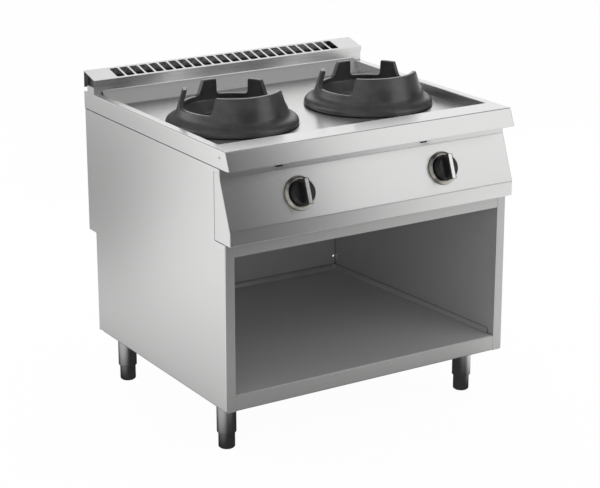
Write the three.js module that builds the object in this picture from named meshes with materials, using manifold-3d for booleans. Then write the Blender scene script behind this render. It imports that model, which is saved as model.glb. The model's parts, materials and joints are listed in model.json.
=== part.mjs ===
// Two-burner gas wok range on an open cabinet, 800 mm wide.
// Millimetres, +Z up. The origin is on the floor under the middle of the range:
// -Y is the operator's side, +X is the operator's right.
import * as THREE from "three";
import { mergeVertices } from "three/addons/utils/BufferGeometryUtils.js";
import Module from "manifold-3d";

const wasm = await Module();
wasm.setup();

// ---------------------------------------------------------------- driving dimensions
// Drawn with y = 0 at the cabinet's front plane; the last lines centre the whole range.
const WIDTH = 800; // over the side panels
const TOP_DEPTH = 705; // cabinet front to the rear of the upper part
const REAR_STEP = 39; // the lower part stops this far ahead of it, for the supply lines
const LEG_HEIGHT = 129; // floor to the underside of the cabinet
const RIM_HEIGHT = 757; // floor to the flat rim of the worktop
const SHEET = 1.5; // steel sheet of the cabinet
const TOP_SHEET = 2; // steel sheet of the worktop
const GAP = 0.3; // clearance between neighbouring pieces
const SEAM_GAP = 0.9; // open joint under the worktop's flanges

// Worktop
const FLANGE_HEIGHT = 44; // the rim's side flange and front fascia
const FASCIA_REACH = 25; // the fascia's foot stands this far ahead of the cabinet
const FASCIA_TOP_REACH = 7; // and its upper edge this far
const FRONT_RIM = 70; // flat rim, front to back
const SIDE_RIM = 23; // flat rim at each side
const RECESS_DEPTH = 27.5; // rim down to the deck
const UPSTAND_SETBACK = 56; // rear to the upright face of the upstand
const UPSTAND_BEND = 4; // its lower bend stands this far ahead of that face
const UPSTAND_RAMP = 23; // length of the slope from the deck up to the bend
const UPSTAND_RISE = 35.5; // its top edge above the rim
const REAR_TAB = 37; // length of the side flange's raised tab behind the upstand
const REAR_TAB_RISE = 18;

// Flue cover
const FLUE_DEPTH = 60; // front edge to the rear
const FLUE_FRONT_RISE = 36.5; // its front edge above the rim
const FLUE_REAR_RISE = 52;
const FLUE_LIP = 12.5;
const FLUE_REAR_FLANGE = 42;
const SLOT_MARGIN = 65; // least distance from the slots to the ends of the cover
const SLOT_WIDTH = 22.5;
const SLOT_PITCH = 27.9;
const SLOT_FRONT = 7; // front edge of the cover to the slots, and their length, in plan
const SLOT_LENGTH = 46;
const SLOT_RADIUS = 4;
const DUCT_END_INSET = 14; // duct wall to the open end of the cover
const DUCT_DEPTH = 46;
const DUCT_DROP = 150; // rim to the duct's lower end

// Cabinet
const FRONT_FLANGE = 25; // folded front edge of a side panel
const FLANGE_CORNER = 5;
const NOTCH_TOP = 391; // the lower rear step for the gas and water lines
const REAR_FOLD = 22;
const FOOT_FOLD = 85; // bottom fold that carries the legs
const RAIL_FOLD = 14; // folded lower edge of the bottom rail
const BOTTOM_RAIL = 40;
const UPPER_RAIL = 33;
const TRAY_EDGE = 15;
const LINER_INSET = 70; // rear end of the slanting inner side wall to the side panel's face
const FLOOR_GAP = 2.5; // dark gap between the floor's upstands and the inner walls
const FLOOR_UPSTAND = 14;
const UPSTAND_START = 22; // the side upstands begin this far behind the cabinet's front
const BACK_INSET = 3.8; // outer face of the lower back to the rear of the base
const PEEP_RADIUS = 2.6; // fixing holes near the lower rear corner
const PEEP_RISE = 37;
const PEEP_IN_BACK = 6;
const PEEP_IN_LINER = 18;
const PEEP_STEP = 4; // the side wall's holes are this much higher

// Control panel
const UPRIGHT = 24; // height of its upright part, under the worktop
const SLOPE_HEIGHT = 114;
const LIP_HEIGHT = 36;
const PANEL_TOP_Y = 19;
const KNEE_REACH = 24;
const CHEEK_END = 45; // vertical seam between the cheek and the side panel
const SIDE_STRIP = 12; // strip of side panel above the cheek
const SIGHT_HOLE = { x: 42, width: 22, height: 9 }; // inspection slots, left of each knob
const FLANGE_HOLE_RADIUS = 2.3;
const FLANGE_HOLE_DROP = 18.3; // rim to the hole in the worktop's side flange

// Controls
const KNOB_OFFSET = 5; // knob's centre outside its burner's
const BEZEL_WIDTH = 8.5;
const BEZEL_CLEARANCE = 1.5; // knob to bezel
const BEZEL_HEIGHT = 8;
const KNOB_RADIUS = 30;
const KNOB_FOOT = 6; // the knob's underside above the panel
const KNOB_SHOULDER = 26;
const KNOB_CHAMFER = 3;
const GRIP_TOP = 40;
const GRIP_WIDTH = 16;
const GRIP_INSET = 1.5; // grip's ends inside the knob's edge
const POINTER_WIDTH = 9.8;
const POINTER_DEPTH = 2; // let into the grip
const POINTER_PROUD = 1;
const STEM_RADIUS = 4;
const STEM_END = 30; // depth of the stem behind the panel
const PLUG_RADIUS = 8;
const PLUG_FRONT = 6;
const PLUG_REAR = 44;
const STEM_TRAVEL = 8; // free depth in the plug behind the stem
const VALVE_RADIUS = 15;
const VALVE_DEPTH = 50;
const VALVE_TAIL = 62;
const PIPE_RADIUS = 10.65; // half-inch steel pipe
const PIPE_BORE = 8;
const FEED_RADIUS = 5; // pipe from a valve to its burner
const RAIL_DROP = 30; // valve axis to the manifold's axis
const RAIL_BACK = 30; // panel to the manifold, along the valve's axis
const RAIL_END = 30; // the manifold's closed end, past the left valve
const INLET_INSET = 50; // side to the supply pipe
const INLET_BEND = 26; // size of the supply pipe's bends
const INLET_DROP = 19; // how far the supply pipe comes out under the upper part

// Burners and rings
const RING_CLEARANCE = 18.5; // ring's foot to the recess's side wall
const BURNER_Y = 311;
const DECK_HOLE = 100;
const COLLAR_RISE = 8;
const BOWL_RADIUS = 66;
const BOWL_TOP = 1; // bowl's edge above the deck
const NECK_RADIUS = 20;
const NECK_BORE = 14;
const NECK_DROP = 67; // deck to the top of the neck
const NECK_LENGTH = 70;
const BOWL_WALL = 6;
const INJECTOR_RADIUS = 9;
const INJECTOR_DROP = 28; // neck's lower end to the injector's
const CAP_RADIUS = 70;
const CAP_PORTS = 16;
const PORT_HALF = 2.2; // half the width of a flame port
const BRACKET_CLEARANCE = 26.5; // bracket's outer end to the tray's side fold
const BRACKET_FOOT = 30;
const BRACKET_SHEET = 3;
const BRACKET_WIDTH = 60;
const PILOT_Y = 84; // pilot and thermocouple, ahead of the burner's centre
const PILOT_X = 8; // and to each side of it
const EAR_DROP = 42; // bowl's edge to the ear that carries them
const EAR_SHEET = 4;
const PILOT_RADIUS = 4;
const PROBE_RADIUS = 3;
const RING_RADIUS = 161.5; // cast ring, over its foot
const RING_HEIGHT = 86.5;
const RING_TOP_INSET = 42.5; // ring's foot to its upper edge
const RING_WALL = 10;
const SHOULDER_INSET = 25; // ring's foot to its wall
const SKIRT_CLEARANCE = 1.5; // inner skirt, which passes down through the deck's collar
const SKIRT_WALL = 6;
const SKIRT_DEPTH = 35; // below the deck
const LOW_RIM = 46; // ring's edge between the lugs
const LUG_HALF = 11; // degrees
const LUG_ANGLES = [30, 90, 150];
const SHIELD_HALF = 51; // degrees each side of the operator's direction

// Legs
const LEG_INSET_X = 52;
const LEG_FRONT_Y = 93;
const LEG_REAR_INSET = 56;
const LEG_RADIUS = 23.75;
const LEG_BOTTOM = 40;
const FOOT_RADIUS = 20.2;
const FOOT_HEADROOM = 27; // foot's top to the cabinet
const STUD_RADIUS = 6;
const STUD_TOP = 14; // above the underside of the cabinet
const NUT_RADIUS = 10;
const NUT_HEIGHT = 8;

// ---------------------------------------------------------------- worked-out places
const PAST = 1; // cutting tools run this far past their work
const SLIVER = 0.002; // thinner triangles are merged away
const HALF = WIDTH / 2;
const BASE_DEPTH = TOP_DEPTH - REAR_STEP;
const SEAM = RIM_HEIGHT - FLANGE_HEIGHT;
const DECK = RIM_HEIGHT - RECESS_DEPTH;
const SLOPE_TOP = SEAM - UPRIGHT;
const KNEE = SLOPE_TOP - SLOPE_HEIGHT;
const LIP_BOTTOM = KNEE - LIP_HEIGHT;
const OPENING_TOP = LIP_BOTTOM - UPPER_RAIL;
const UPSTAND_Y = TOP_DEPTH - UPSTAND_SETBACK;
const FLUE_FRONT_Y = TOP_DEPTH - FLUE_DEPTH;
const FLOOR = LEG_HEIGHT + BOTTOM_RAIL;
const LINER_X = HALF - LINER_INSET;
const BACK_Y = BASE_DEPTH - BACK_INSET;
const RAIL_HALF = HALF - FRONT_FLANGE - GAP;
const SLOPE = Math.atan2(PANEL_TOP_Y + KNEE_REACH, SLOPE_TOP - KNEE);
const BURNER_X = HALF - SIDE_RIM - RING_CLEARANCE - RING_RADIUS;
const KNOB_X = BURNER_X + KNOB_OFFSET;
const RING_TOP_RADIUS = RING_RADIUS - RING_TOP_INSET;
const SKIRT_RADIUS = DECK_HOLE - SKIRT_CLEARANCE;
const BRACKET_HALF = HALF - FRONT_FLANGE - SHEET - BRACKET_CLEARANCE - BRACKET_FOOT - BURNER_X;
const KNOB_Y = (PANEL_TOP_Y - KNEE_REACH) / 2;
const KNOB_Z = (SLOPE_TOP + KNEE) / 2;
const BEZEL_BORE = KNOB_RADIUS + BEZEL_CLEARANCE;
const STEM_BORE = STEM_RADIUS + GAP;
const NECK_TOP = DECK - NECK_DROP;
const NECK_BOTTOM = NECK_TOP - NECK_LENGTH;
const INJECTOR_BOTTOM = NECK_BOTTOM - INJECTOR_DROP;
const BOWL_Z = DECK + BOWL_TOP;
const EAR_Z = BOWL_Z - EAR_DROP;
const PEEP_Z = FLOOR + PEEP_RISE;
const SIDES = [
  { name: "left", sign: -1 },
  { name: "right", sign: 1 },
];

// ---------------------------------------------------------------- looks
const looks = {
  steel: { color: 0xc6c7c8, roughness: 0.34, metalness: 0.9 },
  darkSteel: { color: 0x2c2c2d, roughness: 0.7, metalness: 0.3 },
  zinc: { color: 0x9a9d9f, roughness: 0.5, metalness: 0.8 },
  castIron: { color: 0x3b3b3d, roughness: 0.55, metalness: 0.2 },
  brass: { color: 0xb08d45, roughness: 0.35, metalness: 0.9 },
  bezel: { color: 0x8f8a80, roughness: 0.3, metalness: 0.9 },
  knob: { color: 0x101112, roughness: 0.4, metalness: 0 },
  pointer: { color: 0xd9d9d6, roughness: 0.25, metalness: 0.8 },
  foot: { color: 0x5d6063, roughness: 0.45, metalness: 0.5 },
};

const range = new THREE.Group();

function addPart(name, shape, look, parent = range) {
  const mesh = new THREE.Mesh(geometryOf(shape), new THREE.MeshStandardMaterial(looks[look]));
  mesh.name = name;
  parent.add(mesh);
  return mesh;
}

// ---------------------------------------------------------------- solid helpers
function solidOf(geometry) {
  const bare = geometry.clone();
  bare.deleteAttribute("normal");
  bare.deleteAttribute("uv");
  const welded = mergeVertices(bare, 1e-4);
  const vertProperties = Float32Array.from(welded.attributes.position.array);
  const triVerts = Uint32Array.from(welded.index.array);
  return new wasm.Manifold(new wasm.Mesh({ numProp: 3, vertProperties, triVerts }));
}

function geometryOf(solid) {
  const mesh = solid.getMesh();
  const geometry = new THREE.BufferGeometry();
  geometry.setAttribute("position", new THREE.BufferAttribute(mesh.vertProperties, 3));
  geometry.setIndex(new THREE.BufferAttribute(mesh.triVerts, 1));
  return geometry;
}

const join = (first, ...others) => others.reduce((body, other) => body.add(other), first);
const cut = (first, ...tools) => tools.reduce((body, tool) => body.subtract(tool), first);

function extrude(points, depth) {
  const shape = new THREE.Shape(points.map(([u, v]) => new THREE.Vector2(u, v)));
  return new THREE.ExtrudeGeometry(shape, { depth, bevelEnabled: false });
}

// An outline in (y, z), drawn out along X.
function extrudeX(points, x0, x1) {
  const toX = new THREE.Matrix4().makeBasis(
    new THREE.Vector3(0, 1, 0), new THREE.Vector3(0, 0, 1), new THREE.Vector3(1, 0, 0));
  return solidOf(extrude(points, x1 - x0).applyMatrix4(toX).translate(x0, 0, 0));
}

// An outline in (x, z), drawn out along Y.
function extrudeY(points, y0, y1) {
  return solidOf(extrude(points, y1 - y0).rotateX(Math.PI / 2).translate(0, y1, 0));
}

// An outline in (x, y), drawn out along Z.
function extrudeZ(points, z0, z1) {
  return solidOf(extrude(points, z1 - z0).translate(0, 0, z0));
}

function box(x0, x1, y0, y1, z0, z1) {
  const geometry = new THREE.BoxGeometry(x1 - x0, y1 - y0, z1 - z0);
  return solidOf(geometry.translate((x0 + x1) / 2, (y0 + y1) / 2, (z0 + z1) / 2));
}

// A turned piece about Z: the profile is a list of [radius, height].
function turned(profile, segments = 24) {
  const points = profile.map(([radius, height]) => new THREE.Vector2(radius, height));
  const first = profile[0];
  const last = profile[profile.length - 1];
  if (first[0] > 0 || last[0] > 0) points.push(points[0].clone());
  return solidOf(new THREE.LatheGeometry(points, segments).rotateX(Math.PI / 2));
}

const rod = (radius, z0, z1, segments = 24) =>
  turned([[0, z0], [radius, z0], [radius, z1], [0, z1]], segments);

// A closed outline of constant thickness to the left of an open path: folded sheet, end on.
function foldedSheet(path, thickness) {
  const normals = path.slice(1).map(([u, v], i) => {
    const length = Math.hypot(u - path[i][0], v - path[i][1]);
    return [-(v - path[i][1]) / length, (u - path[i][0]) / length];
  });
  const inner = path.map(([u, v], i) => {
    const a = normals[Math.max(i - 1, 0)];
    const b = normals[Math.min(i, normals.length - 1)];
    const scale = thickness / (1 + a[0] * b[0] + a[1] * b[1]);
    return [u + (a[0] + b[0]) * scale, v + (a[1] + b[1]) * scale];
  });
  return [...path, ...inner.reverse()];
}

function mirrored(solid, sign) {
  return sign < 0 ? solid : solid.mirror([1, 0, 0]);
}

// A rod or pipe along a smooth curve through the given points.
function pipe(points, radius, sides, steps) {
  const path = new THREE.CatmullRomCurve3(points.map((p) => new THREE.Vector3(...p)), false, "centripetal");
  const circle = Array.from({ length: sides }, (_, i) =>
    new THREE.Vector2(radius, 0).rotateAround(new THREE.Vector2(), (2 * Math.PI * i) / sides));
  return solidOf(new THREE.ExtrudeGeometry(new THREE.Shape(circle), { steps, extrudePath: path }));
}

// An outline of points at stations, each [height, points], skinned into one closed body.
function loft(stations) {
  const count = stations[0][1].length;
  const position = stations.flatMap(([z, points]) => points.flatMap(([x, y]) => [x, y, z]));
  const index = [];
  for (let level = 0; level + 1 < stations.length; level += 1) {
    for (let i = 0; i < count; i += 1) {
      const a = level * count + i;
      const b = level * count + ((i + 1) % count);
      index.push(a, b, b + count, a, b + count, a + count);
    }
  }
  const outline = stations[0][1].map(([x, y]) => new THREE.Vector2(x, y));
  const top = (stations.length - 1) * count;
  for (const [a, b, c] of THREE.ShapeUtils.triangulateShape(outline, [])) {
    index.push(a, c, b, top + a, top + b, top + c);
  }
  const geometry = new THREE.BufferGeometry();
  geometry.setAttribute("position", new THREE.Float32BufferAttribute(position, 3));
  geometry.setIndex(index);
  return solidOf(geometry);
}

// ---------------------------------------------------------------- cabinet
function sidePanel(sign) {
  const skin = extrudeX([
    [0, LEG_HEIGHT], [BASE_DEPTH, LEG_HEIGHT], [BASE_DEPTH, NOTCH_TOP], [TOP_DEPTH, NOTCH_TOP],
    [TOP_DEPTH, SEAM - SEAM_GAP], [PANEL_TOP_Y + SHEET + GAP, SEAM - SEAM_GAP],
    [PANEL_TOP_Y + SHEET + GAP, SEAM - SIDE_STRIP], [CHEEK_END, SEAM - SIDE_STRIP],
    [CHEEK_END, LIP_BOTTOM - GAP], [0, LIP_BOTTOM - GAP],
  ], -HALF, -HALF + SHEET);
  const frontFold = box(-HALF, -HALF + FRONT_FLANGE, 0, SHEET, LEG_HEIGHT, LIP_BOTTOM - GAP);
  const footFold = box(
    -HALF, -HALF + FOOT_FOLD, REAR_FOLD, BASE_DEPTH - REAR_FOLD, LEG_HEIGHT, LEG_HEIGHT + SHEET);
  const lowerRearFold = box(
    -HALF, -HALF + REAR_FOLD, BASE_DEPTH - SHEET, BASE_DEPTH, LEG_HEIGHT, NOTCH_TOP);
  const stepFold = box(
    -HALF, -HALF + REAR_FOLD, BASE_DEPTH - SHEET, TOP_DEPTH, NOTCH_TOP, NOTCH_TOP + SHEET);
  const upperRearFold = box(
    -HALF, -HALF + REAR_FOLD, TOP_DEPTH - SHEET, TOP_DEPTH, NOTCH_TOP, SEAM - SEAM_GAP);
  const body = join(skin, frontFold, footFold, lowerRearFold, stepFold, upperRearFold);

  const studHoles = [LEG_FRONT_Y, BASE_DEPTH - LEG_REAR_INSET].map((y) =>
    rod(STUD_RADIUS + GAP, LEG_HEIGHT - PAST, LEG_HEIGHT + SHEET + PAST, 16)
      .translate([-HALF + LEG_INSET_X, y, 0]));
  const cornerSteps = 6;
  const round = Array.from({ length: cornerSteps + 1 }, (_, i) => {
    const angle = (Math.PI / 2) * (3 - i / cornerSteps);
    const radius = FLANGE_CORNER * 1.01; // the tool's ends pass just outside the sheet's faces
    return [
      FLANGE_CORNER - HALF + radius * Math.cos(angle),
      LEG_HEIGHT + FLANGE_CORNER + radius * Math.sin(angle),
    ];
  });
  const corner = extrudeY([
    [-HALF - PAST, LEG_HEIGHT - PAST], [FLANGE_CORNER - HALF, LEG_HEIGHT - PAST],
    ...round, [-HALF - PAST, LEG_HEIGHT + FLANGE_CORNER],
  ], -PAST, SHEET);
  return mirrored(cut(body, ...studHoles, corner).simplify(SLIVER), sign);
}

// Inner side wall of the open cabinet. It starts at the front flange and slants inwards to the rear.
const LINER_FRONT_Y = SHEET + GAP;
const LINER_REAR_Y = BACK_Y - SHEET - GAP;
const LINER_SLANT = (LINER_INSET - FRONT_FLANGE) / (LINER_REAR_Y - LINER_FRONT_Y);
const linerX = (y) => HALF - FRONT_FLANGE - LINER_SLANT * (y - LINER_FRONT_Y);

function liner(sign) {
  const path = [[-linerX(LINER_FRONT_Y), LINER_FRONT_Y], [-LINER_X, LINER_REAR_Y]];
  const wall = extrudeZ(foldedSheet(path, SHEET), LEG_HEIGHT + SHEET + GAP, OPENING_TOP - GAP);
  const peep = solidOf(new THREE.BoxGeometry(8 * SHEET, 2 * PEEP_RADIUS, 1.6 * PEEP_RADIUS))
    .translate([-LINER_X, LINER_REAR_Y - PEEP_IN_LINER, PEEP_Z + PEEP_STEP]);
  return mirrored(cut(wall, peep), sign);
}

// Floor with its bottom rail folded from it, upstands at its sides and rear, and legs under it.
function cabinetFloor() {
  const foot = LEG_HEIGHT + SHEET + GAP;
  const top = FLOOR + FLOOR_UPSTAND;
  const edge = (y) => linerX(y) - FLOOR_GAP;
  const rear = LINER_REAR_Y - FLOOR_GAP;
  const rail = extrudeX(foldedSheet([
    [RAIL_FOLD, LEG_HEIGHT + SHEET], [SHEET, LEG_HEIGHT + SHEET], [SHEET, FLOOR],
  ], SHEET), -RAIL_HALF, RAIL_HALF);
  const sheet = extrudeZ([
    [-edge(LINER_FRONT_Y), 0], [edge(LINER_FRONT_Y), 0], [edge(rear), rear], [-edge(rear), rear],
  ], FLOOR - SHEET, FLOOR);
  const sideUpstands = [-1, 1].map((side) => extrudeZ(
    [[0, UPSTAND_START], [SHEET, UPSTAND_START], [SHEET, rear], [0, rear]].map(([inward, y]) =>
      [side * (edge(y) - inward), y]),
    FLOOR - SHEET, top));
  const rearFold = box(-edge(rear), edge(rear), rear - SHEET, rear, foot, top);
  const legX = edge(rear) - SHEET;
  const sideLegs = [-legX - SHEET, legX].map((x) => box(x, x + SHEET, REAR_FOLD + GAP, rear, foot, FLOOR));
  return join(rail, sheet, rearFold, ...sideUpstands, ...sideLegs);
}

function cabinetBack() {
  const half = HALF - REAR_FOLD + SHEET;
  const sheet = box(-half, half, BACK_Y - SHEET, BACK_Y, LEG_HEIGHT, OPENING_TOP - GAP);
  const peeps = SIDES.map(({ sign }) =>
    solidOf(new THREE.CylinderGeometry(PEEP_RADIUS, PEEP_RADIUS, 20, 10))
      .translate([sign * (LINER_X - PEEP_IN_BACK), BACK_Y, PEEP_Z]));
  return cut(sheet, ...peeps);
}

function upperRail() {
  return extrudeX(foldedSheet([
    [REAR_FOLD, OPENING_TOP + SHEET], [SHEET, OPENING_TOP + SHEET],
    [SHEET, LIP_BOTTOM - GAP - SHEET], [REAR_FOLD, LIP_BOTTOM - GAP - SHEET],
  ], SHEET), -RAIL_HALF, RAIL_HALF);
}

// Tray that closes the burner compartment from below.
function compartmentTray() {
  const half = HALF - FRONT_FLANGE;
  const edge = OPENING_TOP + TRAY_EDGE;
  const path = [[-half, edge], [-half, OPENING_TOP], [half, OPENING_TOP], [half, edge]];
  return extrudeY(foldedSheet(path, SHEET), REAR_FOLD + GAP, BACK_Y);
}

function rearPanel() {
  const face = TOP_DEPTH - SHEET - GAP;
  const half = HALF - TOP_SHEET - GAP;
  const bottom = NOTCH_TOP + SHEET + GAP;
  const body = extrudeX(
    foldedSheet([[BASE_DEPTH + GAP, bottom], [face, bottom], [face, RIM_HEIGHT - TOP_SHEET]], SHEET),
    -half, half);
  const inletHole = rod(PIPE_RADIUS + 2, bottom - PAST, bottom + SHEET + PAST, 16)
    .translate([INLET_X, INLET_Y, 0]);
  return cut(body, inletHole);
}

// ---------------------------------------------------------------- control panel
// Places a piece drawn about the panel's own axis: local Z leaves the sloping face.
function onSlope(solid, x) {
  const matrix = new THREE.Matrix4().makeRotationX(Math.PI / 2 - SLOPE);
  matrix.setPosition(x, KNOB_Y, KNOB_Z);
  return solid.transform(matrix.elements);
}

// A box open to the rear: a solid of the panel's outline, hollowed by the same outline set in.
function controlPanel() {
  const rear = CHEEK_END - GAP;
  const outline = [
    [rear, LIP_BOTTOM], [-KNEE_REACH, LIP_BOTTOM], [-KNEE_REACH, KNEE], [PANEL_TOP_Y, SLOPE_TOP],
    [PANEL_TOP_Y, SEAM - SEAM_GAP], [rear, SEAM - SEAM_GAP],
  ];
  const inner = foldedSheet(outline, -SHEET).slice(outline.length);
  const behind = CHEEK_END + PAST;
  const hollow = [[behind, SEAM - SEAM_GAP - SHEET], ...inner, [behind, LIP_BOTTOM + SHEET]];
  // The side panels' strips pass above the cheeks, behind the panel's upright part.
  const strips = [-HALF - PAST, HALF - SHEET - GAP].map((x) =>
    box(x, x + SHEET + GAP + PAST, PANEL_TOP_Y + SHEET + GAP, behind,
      SEAM - SIDE_STRIP - GAP, SEAM + PAST));
  const body = cut(
    extrudeX(outline, -HALF, HALF), extrudeX(hollow, SHEET - HALF, HALF - SHEET), ...strips);
  const holes = SIDES.flatMap(({ sign }) => {
    const x = sign * KNOB_X;
    const left = x - SIGHT_HOLE.x - SIGHT_HOLE.width / 2;
    const bottom = (SEAM + SLOPE_TOP - SIGHT_HOLE.height) / 2;
    return [
      onSlope(rod(2 * STEM_RADIUS, -SHEET - PAST, PAST, 16), x),
      box(left, left + SIGHT_HOLE.width, PANEL_TOP_Y - PAST, PANEL_TOP_Y + SHEET + PAST,
        bottom, bottom + SIGHT_HOLE.height),
    ];
  });
  return cut(body, ...holes);
}

// ---------------------------------------------------------------- worktop
function worktop() {
  const innerHalf = HALF - SIDE_RIM;
  const frontInner = FRONT_RIM - FASCIA_TOP_REACH;
  const top = RIM_HEIGHT + UPSTAND_RISE;
  const front = [[-FASCIA_REACH, SEAM], [-FASCIA_TOP_REACH, RIM_HEIGHT]];
  const bendY = UPSTAND_Y - UPSTAND_BEND;
  const bendZ = RIM_HEIGHT + 2 * TOP_SHEET;
  const rampFoot = bendY - UPSTAND_RAMP;
  const recessProfile = [
    [UPSTAND_Y, top], [UPSTAND_Y, bendZ + UPSTAND_BEND], [bendY, bendZ], [rampFoot, DECK],
    [frontInner, DECK], [frontInner, RIM_HEIGHT], front[1], front[0],
  ];
  const rimProfile = [
    [UPSTAND_Y, top], [UPSTAND_Y, RIM_HEIGHT], front[1], front[0],
  ];
  const pan = extrudeX(foldedSheet(recessProfile, TOP_SHEET), -innerHalf - TOP_SHEET, innerHalf + TOP_SHEET);
  const sides = SIDES.map(({ sign }) => {
    const rim = extrudeX(foldedSheet(rimProfile, TOP_SHEET), -HALF, -innerHalf);
    const wall = extrudeX([
      [frontInner, DECK - TOP_SHEET], [rampFoot, DECK - TOP_SHEET], [bendY, RIM_HEIGHT],
      [frontInner, RIM_HEIGHT],
    ], -innerHalf - TOP_SHEET, -innerHalf);
    const flange = extrudeX([
      [-FASCIA_REACH, SEAM], [TOP_DEPTH, SEAM], [TOP_DEPTH, RIM_HEIGHT],
      [UPSTAND_Y + REAR_TAB, RIM_HEIGHT], [UPSTAND_Y + REAR_TAB, RIM_HEIGHT + REAR_TAB_RISE],
      [UPSTAND_Y, RIM_HEIGHT + REAR_TAB_RISE],
      [UPSTAND_Y, RIM_HEIGHT], [-FASCIA_TOP_REACH, RIM_HEIGHT],
    ], -HALF, -HALF + TOP_SHEET);
    return mirrored(join(rim, wall, flange), sign);
  });
  const collars = SIDES.map(({ sign }) => turned([
    [DECK_HOLE, DECK - TOP_SHEET], [DECK_HOLE + TOP_SHEET, DECK - TOP_SHEET],
    [DECK_HOLE + TOP_SHEET, DECK + COLLAR_RISE], [DECK_HOLE, DECK + COLLAR_RISE],
  ], 40).translate([sign * BURNER_X, BURNER_Y, 0]));
  const holes = SIDES.map(({ sign }) =>
    rod(DECK_HOLE, DECK - TOP_SHEET - PAST, DECK + COLLAR_RISE + PAST, 40)
      .translate([sign * BURNER_X, BURNER_Y, 0]));
  const flangeHole = rod(FLANGE_HOLE_RADIUS, -HALF - PAST, HALF + PAST, 10)
    .rotate([0, 90, 0]).translate([0, PANEL_TOP_Y, RIM_HEIGHT - FLANGE_HOLE_DROP]);
  return cut(join(pan, ...sides, ...collars), ...holes, flangeHole);
}

// ---------------------------------------------------------------- flue
function roundedSlot(width, length, radius) {
  const shape = new THREE.Shape();
  const [w, l] = [width / 2, length / 2];
  shape.absarc(w - radius, l - radius, radius, 0, Math.PI / 2);
  shape.absarc(radius - w, l - radius, radius, Math.PI / 2, Math.PI);
  shape.absarc(radius - w, radius - l, radius, Math.PI, 1.5 * Math.PI);
  shape.absarc(w - radius, radius - l, radius, 1.5 * Math.PI, 2 * Math.PI);
  return shape;
}

function flueCover() {
  const frontTop = RIM_HEIGHT + FLUE_FRONT_RISE;
  const rearTop = RIM_HEIGHT + FLUE_REAR_RISE;
  const path = [
    [TOP_DEPTH, rearTop - FLUE_REAR_FLANGE], [TOP_DEPTH, rearTop],
    [FLUE_FRONT_Y, frontTop], [FLUE_FRONT_Y, frontTop - FLUE_LIP],
  ];
  const cover = extrudeX(foldedSheet(path, SHEET), -HALF, HALF);
  const outline = roundedSlot(SLOT_WIDTH, SLOT_LENGTH, SLOT_RADIUS);
  const count = Math.floor((WIDTH - 2 * SLOT_MARGIN - SLOT_WIDTH) / SLOT_PITCH) + 1;
  const depth = rearTop - frontTop + 2 * (SHEET + PAST);
  const slots = Array.from({ length: count }, (_, i) =>
    solidOf(new THREE.ExtrudeGeometry(outline, { depth, bevelEnabled: false, curveSegments: 1 }))
      .translate([
        (i - (count - 1) / 2) * SLOT_PITCH,
        FLUE_FRONT_Y + SLOT_FRONT + SLOT_LENGTH / 2,
        frontTop - SHEET - PAST,
      ]));
  return cut(cover, ...slots);
}

function flueDuct() {
  const x = HALF - DUCT_END_INSET;
  const y0 = UPSTAND_Y + TOP_SHEET + GAP;
  const y1 = y0 + DUCT_DEPTH;
  const bottom = RIM_HEIGHT - DUCT_DROP;
  const top = RIM_HEIGHT + FLUE_FRONT_RISE - 2 * SHEET;
  return cut(
    box(-x, x, y0, y1, bottom, top),
    box(SHEET - x, x - SHEET, y0 + SHEET, y1 - SHEET, bottom - PAST, top + PAST));
}

// ---------------------------------------------------------------- gas controls
const slopeNormal = [-Math.cos(SLOPE), Math.sin(SLOPE)];
const slopeUp = [Math.sin(SLOPE), Math.cos(SLOPE)];
// A point in (y, z), a height off the panel and a distance up the slope from the knob's centre.
const offSlope = (height, up = 0) => [
  KNOB_Y + slopeNormal[0] * height + slopeUp[0] * up,
  KNOB_Z + slopeNormal[1] * height + slopeUp[1] * up,
];
const [RAIL_Y, RAIL_Z] = offSlope(-RAIL_BACK, -RAIL_DROP);
const INLET_X = HALF - INLET_INSET;
const INLET_Y = (BACK_Y + TOP_DEPTH) / 2;
const INLET_BOTTOM = NOTCH_TOP - INLET_DROP;
const RAIL_LEFT = -KNOB_X - RAIL_END;
const RAIL_RIGHT = INLET_X - INLET_BEND + 6;

const GRIP_HALF = KNOB_RADIUS - GRIP_INSET;
const STEM_TOP = KNOB_SHOULDER - 2;

function bezel() {
  const outer = BEZEL_BORE + BEZEL_WIDTH;
  return turned([
    [BEZEL_BORE, GAP], [outer, GAP], [outer, BEZEL_HEIGHT * 0.4],
    [BEZEL_BORE + BEZEL_WIDTH / 4, BEZEL_HEIGHT], [BEZEL_BORE, BEZEL_HEIGHT],
  ], 40);
}

function knob() {
  const body = turned([
    [0, STEM_TOP], [STEM_BORE, STEM_TOP], [STEM_BORE, KNOB_FOOT], [KNOB_RADIUS - 1, KNOB_FOOT],
    [KNOB_RADIUS, KNOB_FOOT + 1], [KNOB_RADIUS, KNOB_SHOULDER - KNOB_CHAMFER],
    [KNOB_RADIUS - KNOB_CHAMFER, KNOB_SHOULDER], [0, KNOB_SHOULDER + 1],
  ], 40);
  const grip = box(-GRIP_WIDTH / 2, GRIP_WIDTH / 2, -GRIP_HALF, GRIP_HALF, STEM_TOP, GRIP_TOP);
  const groove = POINTER_WIDTH / 2 + GAP;
  const channel = box(
    -groove, groove, -GRIP_HALF - PAST, GRIP_HALF + PAST, GRIP_TOP - POINTER_DEPTH, GRIP_TOP + PAST);
  return cut(join(body, grip), channel);
}

function pointer() {
  const half = POINTER_WIDTH / 2;
  return box(
    -half, half, -GRIP_HALF, GRIP_HALF, GRIP_TOP - POINTER_DEPTH + GAP, GRIP_TOP + POINTER_PROUD);
}

const stem = () => rod(STEM_RADIUS, -STEM_END, STEM_TOP - GAP, 16);

const valvePlug = () => turned([
  [0, -PLUG_REAR], [PLUG_RADIUS, -PLUG_REAR], [PLUG_RADIUS, -PLUG_FRONT],
  [STEM_BORE, -PLUG_FRONT], [STEM_BORE, -STEM_END - STEM_TRAVEL], [0, -STEM_END - STEM_TRAVEL],
], 20);

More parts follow.
